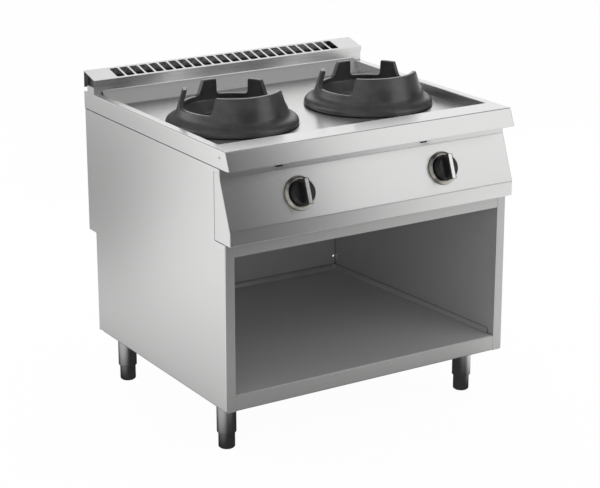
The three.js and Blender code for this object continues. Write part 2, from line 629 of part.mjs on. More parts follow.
function gasValve() {
  const bore = PLUG_RADIUS + GAP;
  const end = -PLUG_REAR - GAP;
  const body = turned([
    [0, -VALVE_TAIL], [VALVE_RADIUS / 2, -VALVE_TAIL], [VALVE_RADIUS / 2, -VALVE_DEPTH - 2],
    [VALVE_RADIUS, -VALVE_DEPTH], [VALVE_RADIUS, -SHEET - GAP], [bore, -SHEET - GAP],
    [bore, end], [0, end],
  ], 20);
  const boss = rod(PLUG_RADIUS, 0, RAIL_DROP - VALVE_RADIUS / 2, 12)
    .rotate([90, 0, 0]).translate([0, -VALVE_RADIUS / 2 - 2, -RAIL_BACK]);
  const saddle = rod(PIPE_RADIUS + GAP, -2 * VALVE_RADIUS, 2 * VALVE_RADIUS, 20)
    .rotate([0, 90, 0]).translate([0, -RAIL_DROP, -RAIL_BACK]);
  const socket = rod(bore, end, 0, 20);
  return cut(join(body, boss), saddle, socket);
}

function manifold() {
  const body = rod(PIPE_RADIUS, RAIL_LEFT, RAIL_RIGHT, 20);
  return cut(body, rod(PIPE_BORE, RAIL_LEFT + RAIL_END / 3, RAIL_RIGHT + PAST, 20))
    .rotate([0, 90, 0]).translate([0, RAIL_Y, RAIL_Z]);
}

function gasInlet() {
  const bend = INLET_BEND;
  const line = pipe([
    [RAIL_RIGHT + GAP, RAIL_Y, RAIL_Z], [RAIL_RIGHT + 6, RAIL_Y, RAIL_Z],
    [INLET_X, RAIL_Y + bend, RAIL_Z], [INLET_X, RAIL_Y + 3 * bend, RAIL_Z],
    [INLET_X, INLET_Y - 2 * bend, RAIL_Z], [INLET_X, INLET_Y - 0.8 * bend, RAIL_Z - 2],
    [INLET_X, INLET_Y, RAIL_Z - bend], [INLET_X, INLET_Y, RAIL_Z - 3 * bend],
    [INLET_X, INLET_Y, INLET_BOTTOM],
  ], PIPE_RADIUS, 12, 34);
  const bore = rod(PIPE_BORE, INLET_BOTTOM - PAST, INLET_BOTTOM + bend, 12);
  return cut(line, bore.translate([INLET_X, INLET_Y, 0]));
}

function feedPipe(sign) {
  const [tailY, tailZ] = offSlope(-VALVE_TAIL - GAP);
  const [nextY, nextZ] = offSlope(-VALVE_TAIL - 20);
  const low = INJECTOR_BOTTOM - 28;
  return pipe([
    [sign * KNOB_X, tailY, tailZ], [sign * KNOB_X, nextY, nextZ],
    [sign * KNOB_X, (tailY + BURNER_Y) / 2, low + 12], [sign * BURNER_X, BURNER_Y - 36, low],
    [sign * BURNER_X, BURNER_Y - 6, low + 8], [sign * BURNER_X, BURNER_Y, INJECTOR_BOTTOM - 10],
    [sign * BURNER_X, BURNER_Y, INJECTOR_BOTTOM - GAP],
  ], FEED_RADIUS, 8, 20);
}

// ---------------------------------------------------------------- burners, about their own axis
const INJECTOR_SEAT = NECK_BOTTOM + NECK_LENGTH / 10;

function burnerBody() {
  const bore = BOWL_RADIUS - BOWL_WALL;
  const bowl = turned([
    [INJECTOR_RADIUS + GAP, NECK_BOTTOM], [NECK_RADIUS, NECK_BOTTOM], [NECK_RADIUS, NECK_TOP],
    [BOWL_RADIUS, EAR_Z], [BOWL_RADIUS, BOWL_Z], [bore, BOWL_Z],
    [bore, EAR_Z + BOWL_WALL / 2], [NECK_BORE, NECK_TOP + BOWL_WALL],
    [NECK_BORE, INJECTOR_SEAT], [INJECTOR_RADIUS + GAP, INJECTOR_SEAT],
  ], 24);
  const ear = box(-2 * PILOT_X, 2 * PILOT_X, -PILOT_Y - 12, -BOWL_RADIUS + 3, EAR_Z, EAR_Z + EAR_SHEET);
  const airWindow = box(
    -NECK_RADIUS - PAST, NECK_RADIUS + PAST, -NECK_BORE / 2, NECK_BORE / 2,
    INJECTOR_SEAT + 5, INJECTOR_SEAT + 23);
  const holes = [[-PILOT_X, PILOT_RADIUS], [PILOT_X, PROBE_RADIUS]].map(([x, radius]) =>
    rod(radius + GAP, EAR_Z - PAST, EAR_Z + EAR_SHEET + PAST, 12).translate([x, -PILOT_Y, 0]));
  return cut(join(bowl, ear), airWindow, ...holes);
}

function burnerBracket() {
  const half = BRACKET_HALF;
  const foot = OPENING_TOP + SHEET + GAP + BRACKET_SHEET;
  const top = NECK_TOP - GAP;
  const path = [
    [half + BRACKET_FOOT, foot], [half, foot], [half, top], [-half, top], [-half, foot],
    [-half - BRACKET_FOOT, foot],
  ];
  const strap = extrudeY(foldedSheet(path, BRACKET_SHEET), -BRACKET_WIDTH / 2, BRACKET_WIDTH / 2);
  return cut(strap, rod(NECK_RADIUS + GAP, top - BRACKET_SHEET - PAST, top + PAST, 32));
}

function injector() {
  return turned([
    [0, INJECTOR_BOTTOM], [INJECTOR_RADIUS, INJECTOR_BOTTOM], [INJECTOR_RADIUS, INJECTOR_SEAT - 1],
    [INJECTOR_RADIUS / 2, INJECTOR_SEAT + 5], [0, INJECTOR_SEAT + 5],
  ], 12);
}

function pilotBurner() {
  const top = BOWL_Z + 10;
  return turned([
    [0, EAR_Z - 24], [PILOT_RADIUS, EAR_Z - 24], [PILOT_RADIUS, EAR_Z + EAR_SHEET + GAP],
    [PILOT_RADIUS + 2, EAR_Z + EAR_SHEET + GAP], [PILOT_RADIUS + 2, top - 2], [PILOT_RADIUS, top],
    [0, top],
  ], 12).translate([-PILOT_X, -PILOT_Y, 0]);
}

function thermocouple() {
  const top = BOWL_Z + 12;
  return turned([
    [0, EAR_Z - 30], [PROBE_RADIUS, EAR_Z - 30], [PROBE_RADIUS, top - 2], [PROBE_RADIUS / 2, top], [0, top],
  ], 12).translate([PILOT_X, -PILOT_Y, 0]);
}

function burnerCap() {
  const seat = BOWL_Z + GAP;
  const spigot = BOWL_RADIUS - BOWL_WALL - 2 * GAP;
  const body = turned([
    [0, seat - 10], [spigot, seat - 10], [spigot, seat],
    [CAP_RADIUS, seat], [CAP_RADIUS, seat + 8], [CAP_RADIUS - 8, seat + 15], [CAP_RADIUS * 0.4, seat + 18],
    [0, seat + 18],
  ], 32);
  const ports = Array.from({ length: CAP_PORTS }, (_, i) =>
    box(CAP_RADIUS - 8, CAP_RADIUS + PAST, -PORT_HALF, PORT_HALF, seat - PAST, seat + 5)
      .rotate([0, 0, (360 * (i + 0.5)) / CAP_PORTS]));
  return cut(body, ...ports);
}

// A gap in the ring's wall: narrow at the low rim, wider towards the top.
function ringGap(fromDegrees, toDegrees, z0) {
  const sector = (inset) => {
    const [a, b] = [fromDegrees + inset, toDegrees - inset].map(THREE.MathUtils.degToRad);
    const steps = 6;
    const arc = (radius) => Array.from({ length: steps + 1 }, (_, i) => {
      const angle = a + ((b - a) * i) / steps;
      return [radius * Math.cos(angle), radius * Math.sin(angle)];
    });
    return [...arc(RING_RADIUS + 20), ...arc(60).reverse()];
  };
  return loft([
    [z0 + LOW_RIM, sector(5)], [z0 + LOW_RIM + 3, sector(2)], [z0 + LOW_RIM + 9, sector(0.6)],
    [z0 + RING_HEIGHT + 2, sector(-1.5)],
  ]);
}

function wokRing() {
  const z = DECK + GAP;
  const foot = RING_RADIUS;
  const shoulder = RING_RADIUS - SHOULDER_INSET;
  const skirt = SKIRT_RADIUS;
  const bore = SKIRT_RADIUS - SKIRT_WALL;
  const web = (share) => skirt + (shoulder - skirt) * share;
  const body = turned([
    [foot - 12, 0], [foot - 1.5, 0], [foot, 3], [foot - 0.5, 9], [foot - 5, 16], [foot - 14, 21],
    [shoulder + 3, 26], [shoulder - 1, 33], [RING_TOP_RADIUS, RING_HEIGHT - 1],
    [RING_TOP_RADIUS - 1.5, RING_HEIGHT], [RING_TOP_RADIUS - RING_WALL, RING_HEIGHT],
    [shoulder - 1 - RING_WALL, 34], [web(0.2), 17], [bore, 10],
    [bore, -SKIRT_DEPTH], [skirt, -SKIRT_DEPTH], [skirt, 9],
    [web(0.25), 10.5], [web(0.8), 23], [shoulder + 1, 16], [foot - 12, 9],
  ].map(([r, h]) => [r, z + h]), 44);
  const edges = [
    ...LUG_ANGLES.map((angle) => [angle - LUG_HALF, angle + LUG_HALF]),
    [270 - SHIELD_HALF, 270 + SHIELD_HALF],
  ];
  const gaps = edges.map(([, end], i) => {
    const next = edges[(i + 1) % edges.length][0];
    return ringGap(end, next < end ? next + 360 : next, z);
  });
  return cut(body, ...gaps);
}

// ---------------------------------------------------------------- legs, about their own axis
const legTube = () => turned([
  [0, LEG_HEIGHT - 4], [FOOT_RADIUS + GAP, LEG_HEIGHT - 4], [FOOT_RADIUS + GAP, LEG_BOTTOM],
  [LEG_RADIUS - 1, LEG_BOTTOM], [LEG_RADIUS, LEG_BOTTOM + 1], [LEG_RADIUS, LEG_HEIGHT - GAP],
  [STUD_RADIUS, LEG_HEIGHT - GAP], [STUD_RADIUS, LEG_HEIGHT + STUD_TOP], [0, LEG_HEIGHT + STUD_TOP],
], 20);

function legFoot() {
  const top = LEG_HEIGHT - FOOT_HEADROOM;
  return turned([[0, 0], [FOOT_RADIUS - 3, 0], [FOOT_RADIUS, 3], [FOOT_RADIUS, top], [0, top]], 20);
}

function legNut() {
  const z = LEG_HEIGHT + SHEET + GAP;
  return cut(
    rod(NUT_RADIUS, z, z + NUT_HEIGHT, 6),
    rod(STUD_RADIUS + GAP, z - PAST, z + NUT_HEIGHT + PAST, 16));
}

// ---------------------------------------------------------------- assembly
for (const { name, sign } of SIDES) {
  addPart(`side_panel_${name}`, sidePanel(sign), "steel");
  addPart(`liner_${name}`, liner(sign), "steel");
}
addPart("cabinet_floor", cabinetFloor(), "steel");
addPart("cabinet_back", cabinetBack(), "steel");
addPart("upper_rail", upperRail(), "steel");
addPart("compartment_tray", compartmentTray(), "steel");
addPart("rear_panel", rearPanel(), "steel");
addPart("control_panel", controlPanel(), "steel");
addPart("worktop", worktop(), "steel");
addPart("flue_cover", flueCover(), "steel");
addPart("flue_duct", flueDuct(), "darkSteel");
addPart("gas_manifold", manifold(), "zinc");
addPart("gas_inlet", gasInlet(), "zinc");

for (const { name, sign } of SIDES) {
  const burner = new THREE.Group();
  burner.position.set(sign * BURNER_X, BURNER_Y, 0);
  range.add(burner);
  addPart(`burner_bracket_${name}`, burnerBracket(), "zinc", burner);
  addPart(`burner_body_${name}`, burnerBody(), "castIron", burner);
  addPart(`burner_cap_${name}`, burnerCap(), "castIron", burner);
  addPart(`injector_${name}`, injector(), "brass", burner);
  addPart(`pilot_burner_${name}`, pilotBurner(), "brass", burner);
  addPart(`thermocouple_${name}`, thermocouple(), "brass", burner);
  addPart(`wok_ring_${name}`, wokRing(), "castIron", burner);
  addPart(`feed_pipe_${name}`, feedPipe(sign), "zinc");

  const controls = new THREE.Group();
  controls.position.set(sign * KNOB_X, KNOB_Y, KNOB_Z);
  controls.rotation.x = Math.PI / 2 - SLOPE;
  range.add(controls);
  addPart(`gas_valve_${name}`, gasValve(), "brass", controls);
  addPart(`valve_plug_${name}`, valvePlug(), "brass", controls);
  addPart(`valve_stem_${name}`, stem(), "zinc", controls);
  addPart(`bezel_${name}`, bezel(), "bezel", controls);
  addPart(`knob_${name}`, knob(), "knob", controls);
  addPart(`knob_pointer_${name}`, pointer(), "pointer", controls);

  for (const [end, y] of [["front", LEG_FRONT_Y], ["rear", BASE_DEPTH - LEG_REAR_INSET]]) {
    const leg = new THREE.Group();
    leg.position.set(sign * (HALF - LEG_INSET_X), y, 0);
    range.add(leg);
    addPart(`leg_tube_${end}_${name}`, legTube(), "steel", leg);
    addPart(`leg_foot_${end}_${name}`, legFoot(), "foot", leg);
    addPart(`leg_nut_${end}_${name}`, legNut(), "zinc", leg);
  }
}

// The whole range stands centred over the origin, from the knobs' front to the rear.
const [KNOB_FRONT] = offSlope(GRIP_TOP + POINTER_PROUD, -GRIP_HALF);
range.position.y = -(KNOB_FRONT + TOP_DEPTH) / 2;

export default range;
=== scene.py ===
"""Looks of a two-burner wok range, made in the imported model's own frame, in metres.

Sheet parts are built as surfaces, then bent and given their thickness. Cast and turned parts are
lathed or lofted, and the hidden fittings are refined from their own solids.
"""

from __future__ import annotations

import json
import logging
import math
from collections.abc import Callable, Iterable, Sequence
from dataclasses import dataclass, field, replace
from enum import Enum
from typing import Any

import bmesh
import bpy
from mathutils import Matrix, Vector

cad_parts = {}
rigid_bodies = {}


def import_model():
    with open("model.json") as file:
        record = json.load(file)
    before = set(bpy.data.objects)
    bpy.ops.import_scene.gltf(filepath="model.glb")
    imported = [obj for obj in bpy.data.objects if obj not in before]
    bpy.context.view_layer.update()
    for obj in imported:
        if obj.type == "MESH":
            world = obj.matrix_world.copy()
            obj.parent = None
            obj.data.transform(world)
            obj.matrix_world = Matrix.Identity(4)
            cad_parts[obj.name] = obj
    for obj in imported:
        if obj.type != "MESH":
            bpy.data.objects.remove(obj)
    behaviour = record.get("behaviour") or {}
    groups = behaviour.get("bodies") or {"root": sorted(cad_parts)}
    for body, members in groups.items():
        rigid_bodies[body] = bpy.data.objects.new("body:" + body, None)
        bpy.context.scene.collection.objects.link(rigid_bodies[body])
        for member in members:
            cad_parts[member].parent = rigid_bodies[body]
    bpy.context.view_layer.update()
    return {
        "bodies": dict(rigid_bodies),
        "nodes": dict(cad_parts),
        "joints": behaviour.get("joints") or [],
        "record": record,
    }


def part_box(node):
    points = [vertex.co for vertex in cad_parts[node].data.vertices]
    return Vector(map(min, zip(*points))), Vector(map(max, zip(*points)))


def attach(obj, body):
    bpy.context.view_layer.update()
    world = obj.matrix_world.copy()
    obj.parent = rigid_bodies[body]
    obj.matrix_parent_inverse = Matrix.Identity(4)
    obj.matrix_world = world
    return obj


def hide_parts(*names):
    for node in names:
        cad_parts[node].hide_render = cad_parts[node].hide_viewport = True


LOG = logging.getLogger("wok_range")
SIDES = {"left": -1, "right": 1}
WHITE = (1, 1, 1, 1)
MM = 0.001
SHEET = 1.5  # thickness of the casing's sheet
SHAFT_X = 202.0  # the knobs' shafts, to either side of the middle
KNEE = (-24.0, 575.0)  # where the control panel starts to slope, as (y, z)
SLOPE_TOP = (19.0, 689.0)  # and where it ends
SLOPE_MIDDLE = ((KNEE[0] + SLOPE_TOP[0]) / 2, (KNEE[1] + SLOPE_TOP[1]) / 2)
LEAN = math.atan2(SLOPE_TOP[0] - KNEE[0], SLOPE_TOP[1] - KNEE[1])
Point2 = tuple[float, float]
Point3 = tuple[float, float, float]
Frame = dict[str, Any]
Socket = bpy.types.NodeSocket


# ---------------------------------------------------------------- shader nodes
class Tree:
    """Short way to add and link the nodes of one node tree."""

    def __init__(self, tree: bpy.types.NodeTree, shelf: EffectShelf | None = None) -> None:
        """Keeps the tree, and the shelf that its shared groups come from."""
        self.tree, self.shelf = tree, shelf

    def put(self, target: Socket, value: Any) -> None:
        """Sets an input socket, or links another socket to it.

        Args:
            target: The input socket.
            value: A number, a colour with alpha or an output socket.
        """
        if isinstance(value, Socket):
            self.tree.links.new(value, target)
        else:
            target.default_value = value

    def add(self, kind: str, inputs: dict[str | int, Any] | None = None, **settings: Any) -> bpy.types.Node:
        """Adds a node.

        Args:
            kind: The node's type, without its ShaderNode prefix.
            inputs: Values or output sockets for the node's inputs, by name or number.
            settings: Properties of the node itself.

        Returns:
            The new node.
        """
        node = self.tree.nodes.new("ShaderNode" + kind)
        for name, value in settings.items():
            setattr(node, name, value)
        for name, value in (inputs or {}).items():
            self.put(node.inputs[name], value)
        return node

    def effect(self, effect: Effect, inputs: dict[str, float] | None = None) -> Any:
        """Adds a shared group, with values for its inputs where they differ, and gives its outputs."""
        return self.add("Group", inputs, node_tree=self.shelf.get(effect)).outputs

    def math(self, operation: str, *values: Any) -> Socket:
        """The result of a maths node on numbers or sockets."""
        return self.add("Math", dict(enumerate(values)), operation=operation).outputs[0]

    def ramp(self, value: Any, low: Any, high: Any, start: float = 0.0, end: float = 1.0) -> Socket:
        """Maps a value smoothly from the range low to high to the range start to end."""
        inputs = {0: value, 1: low, 2: high, 3: start, 4: end}
        return self.add("MapRange", inputs, interpolation_type="SMOOTHSTEP").outputs[0]

    def noise(self, vector: Socket, scale: Any, detail: float = 2.0, rough: float = 0.5) -> Socket:
        """A noise at some coordinates, with its octaves and how much the finer ones count."""
        inputs = {"Vector": vector, "Scale": scale, "Detail": detail, "Roughness": rough}
        return self.add("TexNoise", inputs).outputs[0]

    def here(self) -> Socket:
        """The object's own coordinates."""
        return self.add("TexCoord").outputs["Object"]

    def parts(self, vector: Socket) -> Sequence[Socket]:
        """A vector's X, Y and Z."""
        return self.add("SeparateXYZ", {0: vector}).outputs[:]

    def stretch(self, vector: Socket, scale: Point3) -> Socket:
        """A vector with one factor for each axis."""
        return self.add("VectorMath", {0: vector, 1: scale}, operation="MULTIPLY").outputs[0]

    def flat_length(self, vector: Socket) -> Socket:
        """A vector's length in plan."""
        return self.add("VectorMath", {0: self.stretch(vector, (1, 1, 0))}, operation="LENGTH").outputs["Value"]

    def mix(self, share: Any, first: Any, second: Any) -> Socket:
        """Mixes two numbers, by the share of the second."""
        return self.add("Mix", {"Factor": share, 2: first, 3: second}).outputs[0]

    def blend(self, share: Socket, first: Any, second: Any) -> Socket:
        """Mixes two colours, given as sockets or plain, by the share of the second."""
        ends = [value if isinstance(value, Socket) else rgba(value) for value in (first, second)]
        return self.add("Mix", {"Factor": share, 6: ends[0], 7: ends[1]}, data_type="RGBA").outputs[2]

    def bump(self, height: Socket, depth: float, strength: float) -> Socket:
        """A normal bent by a height, with its depth in metres."""
        return self.add("Bump", {"Height": height, "Distance": depth, "Strength": strength}).outputs[0]


def rgba(colour: Point3) -> tuple[float, float, float, float]:
    """A colour with full alpha."""
    return (*colour, 1.0)


def tinted(colour: Point3, factor: float) -> Point3:
    """A colour made lighter or darker by a factor."""
    return tuple(min(1.0, part * factor) for part in colour)


class Effect(Enum):
    """Shader node groups that several finishes share, with their number inputs."""

    BRUSHED = ("brushed_grain", {"Fine": 900.0, "Coarse": 420.0, "Along": 7.0})
    HANDLED = ("handling_marks", {"Scale": 5.0, "Contrast": 0.5})
    CAST = ("cast_skin", {"Grain": 700.0, "Pits": 160.0})
    # a mask of outer edges that lightens the iron, partly as wear and partly as a painted highlight on the rims
    EDGES = ("worn_edges_and_highlight", {"Low": 0.52, "High": 0.6})
    # painted shade: an ambient-occlusion mask of joints, gaps and inner corners that darkens the sheet's colour
    CREASE_SHADE = ("painted_crease_shade", {"Reach": 0.007})


class EffectTree(Tree):
    """The inside of a shared node group."""

    def __init__(self, effect: Effect) -> None:
        """Makes the whole group.

        Args:
            effect: Which one.
        """
        name, inputs = effect.value
        super().__init__(bpy.data.node_groups.new(name, "ShaderNodeTree"))
        for label, value in inputs.items():
            self.socket(label, "INPUT").default_value = value
        self.given = self.tree.nodes.new("NodeGroupInput").outputs
        makers = {
            Effect.BRUSHED: self.brushed, Effect.HANDLED: self.handled, Effect.CAST: self.cast,
            Effect.EDGES: self.edges, Effect.CREASE_SHADE: self.crease_shade}
        made = makers[effect]()
        for label in made:
            self.socket(label, "OUTPUT")
        result = self.tree.nodes.new("NodeGroupOutput")
        for label, value in made.items():
            self.put(result.inputs[label], value)

    def socket(self, label: str, way: str) -> Any:
        """Adds a number socket to the group's outside, INPUT or OUTPUT."""
        return self.tree.interface.new_socket(label, in_out=way, socket_type="NodeSocketFloat")

    def brushed(self) -> dict[str, Socket]:
        """Fine lines along a sheet: along X, or along Y on faces that look sideways.

        Returns:
            The lines' height, and a broader streak.
        """
        place = self.add("TexCoord").outputs
        x, y, z = self.parts(place["Object"])
        sideways = self.ramp(self.math("ABSOLUTE", self.parts(place["Normal"])[0]), 0.6, 0.8)
        along = self.given["Along"]
        made = {}
        for label, wide in (("Height", self.given["Fine"]), ("Streak", self.given["Coarse"])):
            lines = self.add("CombineXYZ", {
                0: self.mix(sideways, self.math("MULTIPLY", x, along), self.math("MULTIPLY", x, wide)),
                1: self.mix(sideways, self.math("MULTIPLY", y, wide), self.math("MULTIPLY", y, along)),
                2: self.math("MULTIPLY", z, wide)}).outputs[0]
            made[label] = self.noise(lines, 1.0, 3.0, 0.6)
        return made

    def handled(self) -> dict[str, Socket]:
        """Soft patches left by wiping and touching.

        Returns:
            Their mask.
        """
        patches = self.noise(self.here(), self.given["Scale"], 4.0, 0.55)
        wiped = self.noise(self.stretch(self.here(), (3.0, 9.0, 14.0)), 1.6, 3.0, 0.6)
        both = self.math("MULTIPLY", self.ramp(patches, 0.35, 0.75), self.ramp(wiped, 0.3, 0.8))
        inputs = {0: both, 1: self.given["Contrast"]}
        return {"Mask": self.add("Math", inputs, operation="MULTIPLY", use_clamp=True).outputs[0]}

    def cast(self) -> dict[str, Socket]:
        """Grainy skin of a sand casting, with a few pits.

        Returns:
            Its height, and a mask of broad patches.
        """
        grain = self.noise(self.here(), self.given["Grain"], 3.0, 0.65)
        pits = self.add("TexVoronoi", {"Vector": self.here(), "Scale": self.given["Pits"]}).outputs["Distance"]
        dents = self.math("MULTIPLY", self.ramp(pits, 0.05, 0.35), 0.5)
        return {"Height": self.math("ADD", grain, dents), "Patch": self.noise(self.here(), 22.0, 4.0, 0.6)}

    def edges(self) -> dict[str, Socket]:
        """Mask of the outer edges, which handling and heat rub bare; it also carries a painted highlight."""
        outward = self.add("NewGeometry").outputs["Pointiness"]
        return {"Mask": self.ramp(outward, self.given["Low"], self.given["High"])}

    def crease_shade(self) -> dict[str, Socket]:
        """Mask of the joints, gaps and inner corners, where light hardly reaches: the shade there is painted
        into the colour.
        """
        reached = self.add("AmbientOcclusion", {"Distance": self.given["Reach"]}, samples=8).outputs["AO"]
        return {"Mask": self.ramp(self.math("SUBTRACT", 1.0, reached), 0.2, 0.65)}


class EffectShelf:
    """Builds each shared node group once."""

    def __init__(self) -> None:
        """Starts with no groups."""
        self._built: dict[Effect, bpy.types.NodeTree] = {}

    def get(self, effect: Effect) -> bpy.types.NodeTree:
        """The node group of an effect, built at its first use.

        Args:
            effect: Which one.

        Returns:
            The group.
        """
        if effect not in self._built:
            self._built[effect] = EffectTree(effect).tree
        return self._built[effect]


@dataclass(frozen=True)
class Finish:
    """What all finishes have.

    Attributes:
        name: The material's name.
        slot: The record's material slot; not used.
        colour: Base colour, linear.
        rough: Middle value of the roughness.
        metal: Metallic value; a dull finish scatters part of the light.
    """

    name: str
    slot: str
    colour: Point3
    rough: float
    metal: float = 1.0

    def build(self, shelf: EffectShelf) -> bpy.types.Material:
        """The finish's material.

        Args:
            shelf: Where shared node groups come from.

        Returns:
            The new material.
        """
        material = bpy.data.materials.new(self.name)
        material.use_nodes = True
        material.diffuse_color = rgba(self.colour)
        tree = Tree(material.node_tree, shelf)
        shader = material.node_tree.nodes["Principled BSDF"]
        plain = {"Base Color": rgba(self.colour), "Roughness": self.rough, "Metallic": self.metal}
        for inputs in (plain, self.surface(tree)):
            for name, value in inputs.items():
                tree.put(shader.inputs[name], value)
        return material

    def surface(self, tree: Tree) -> dict[str, Any]:
        """What the finish gives the shader's inputs, by name, with nodes made in the tree."""
        raise NotImplementedError


@dataclass(frozen=True)
class BrushedSheet(Finish):
    """Stainless or plated sheet with a brushed grain.

    Attributes:
        fine: Lines across the grain, per metre.
        lines: Depth of the grain in metres.
        streak: How much the streaks change the tone.
        smudge: How much handling marks roughen it.
        spread: Anisotropy across the grain.
    """

    fine: float = 900.0
    lines: float = 0.000003
    streak: float = 0.02
    smudge: float = 0.25
    spread: float = 0.6

    def surface(self, tree: Tree) -> dict[str, Any]:
        """Grain, streaks, smudges, and painted shade in joints, gaps and creases.

        Args:
            tree: The material's tree.

        Returns:
            The shader's inputs.
        """
        grain = tree.effect(Effect.BRUSHED, {"Fine": self.fine})
        smudges = tree.effect(Effect.HANDLED, {"Contrast": self.smudge})["Mask"]
        tone = tree.blend(tree.ramp(grain["Streak"], 0.3, 0.7), tinted(self.colour, 1 - self.streak),
                          tinted(self.colour, 1 + self.streak))
        # painted shade: joints, gaps and creases darkened towards a tenth of the colour
        tone = tree.blend(tree.effect(Effect.CREASE_SHADE)["Mask"], tone, tinted(self.colour, 0.1))
        change = 0.05 * self.streak
        brushed = tree.ramp(grain["Streak"], 0.25, 0.75, self.rough - change, self.rough + change)
        across = tree.add("Tangent", direction_type="UV_MAP", uv_map="across_grain").outputs[0]
        return {
            "Base Color": tone, "Roughness": tree.math("ADD", brushed, tree.math("MULTIPLY", smudges, 0.08)),
            "Normal": tree.bump(grain["Height"], self.lines, 0.5), "Tangent": across,
            "Anisotropic": self.spread}


@dataclass(frozen=True)
class TurnedMetal(Finish):
    """Metal with circular lines about its own Z axis, such as a bezel, a tube or a brass fitting.

    Attributes:
        rings: Lines per metre of radius and height.
        spread: Anisotropy across the lines.
        contrast: How much the lines change the tone.
    """

    rings: float = 1500.0
    spread: float = 0.4
    contrast: float = 0.1

    def surface(self, tree: Tree) -> dict[str, Any]:
        """Circular lines and handling marks.

        Args:
            tree: The material's tree.

        Returns:
            The shader's inputs.
        """
        x, y, z = tree.parts(tree.here())
        lines = tree.add("CombineXYZ", {
            0: tree.math("MULTIPLY", tree.flat_length(tree.here()), self.rings),
            1: tree.math("MULTIPLY", tree.math("ARCTAN2", y, x), 1.2),
            2: tree.math("MULTIPLY", z, self.rings)}).outputs[0]
        grain = tree.noise(lines, 1.0)
        marks = tree.math("MULTIPLY", tree.effect(Effect.HANDLED)["Mask"], 0.1)
        change = 0.4 * self.contrast
        turned = tree.ramp(grain, 0.3, 0.7, self.rough - change, self.rough + change)
        return {
            "Base Color": tree.blend(tree.ramp(grain, 0.3, 0.7), tinted(self.colour, 1 - self.contrast),
                                     tinted(self.colour, 1 + self.contrast)),
            "Roughness": tree.math("ADD", turned, marks),
            "Normal": tree.bump(grain, 0.0001 * self.contrast, 0.4), "Anisotropic": self.spread}


@dataclass(frozen=True)
class Casting(Finish):
    """Blackened cast iron with lightened edges, partly rubbed bare and partly a painted highlight."""

    metal: float = 0.35

    def surface(self, tree: Tree) -> dict[str, Any]:
        """Grainy skin, uneven blacking, and edges lightened as wear and as a painted highlight.

        Args:
            tree: The material's tree.

        Returns:
            The shader's inputs.
        """
        skin, edges = tree.effect(Effect.CAST), tree.effect(Effect.EDGES)["Mask"]
        patchy = tree.blend(tree.ramp(skin["Patch"], 0.3, 0.7), tinted(self.colour, 0.8),
                            tinted(self.colour, 1.25))
        dull = tree.ramp(skin["Patch"], 0.25, 0.75, self.rough - 0.06, self.rough + 0.08)
        return {
            # edges lightened towards grey and made glossier: partly wear, partly a painted highlight of the
            # rims
            "Base Color": tree.blend(tree.math("MULTIPLY", edges, 0.7), patchy, (0.2, 0.2, 0.2)),
            "Roughness": tree.math("SUBTRACT", dull, tree.math("MULTIPLY", edges, 0.15)),
            "Normal": tree.bump(skin["Height"], 0.00012, 0.6), "Coat Weight": 0.6, "Coat Roughness": 0.28}


@dataclass(frozen=True)
class Moulding(Finish):
    """Black thermoset moulding, a little dulled where it is handled."""

    metal: float = 0.0

    def surface(self, tree: Tree) -> dict[str, Any]:
        """Fine grain and handling marks.

        Args:
            tree: The material's tree.

        Returns:
            The shader's inputs.
        """
        marks = tree.effect(Effect.HANDLED, {"Scale": 40.0})["Mask"]
        return {
            "Base Color": tree.blend(marks, self.colour, tinted(self.colour, 2.2)),
            "Roughness": tree.ramp(marks, 0.0, 0.6, self.rough, self.rough + 0.14),
            "Normal": tree.bump(tree.noise(tree.here(), 1800.0), 0.00002, 0.25)}


@dataclass(frozen=True)
class NearBlackSheet(Finish):
    """Thin near-black sheet with lighter patches."""

    metal: float = 0.6

    def surface(self, tree: Tree) -> dict[str, Any]:
        """Lighter blotches on a near-black tone, over a brushed grain.

        Args:
            tree: The material's tree.

        Returns:
            The shader's inputs.
        """
        blotches = tree.noise(tree.stretch(tree.here(), (1.0, 1.0, 0.4)), 14.0, 5.0, 0.6)
        return {
            "Base Color": tree.blend(tree.ramp(blotches, 0.35, 0.75), self.colour, tinted(self.colour, 3.0)),
            "Roughness": tree.ramp(blotches, 0.3, 0.8, self.rough + 0.1, self.rough - 0.15),
            "Normal": tree.bump(tree.effect(Effect.BRUSHED)["Height"], 0.00002, 0.4)}


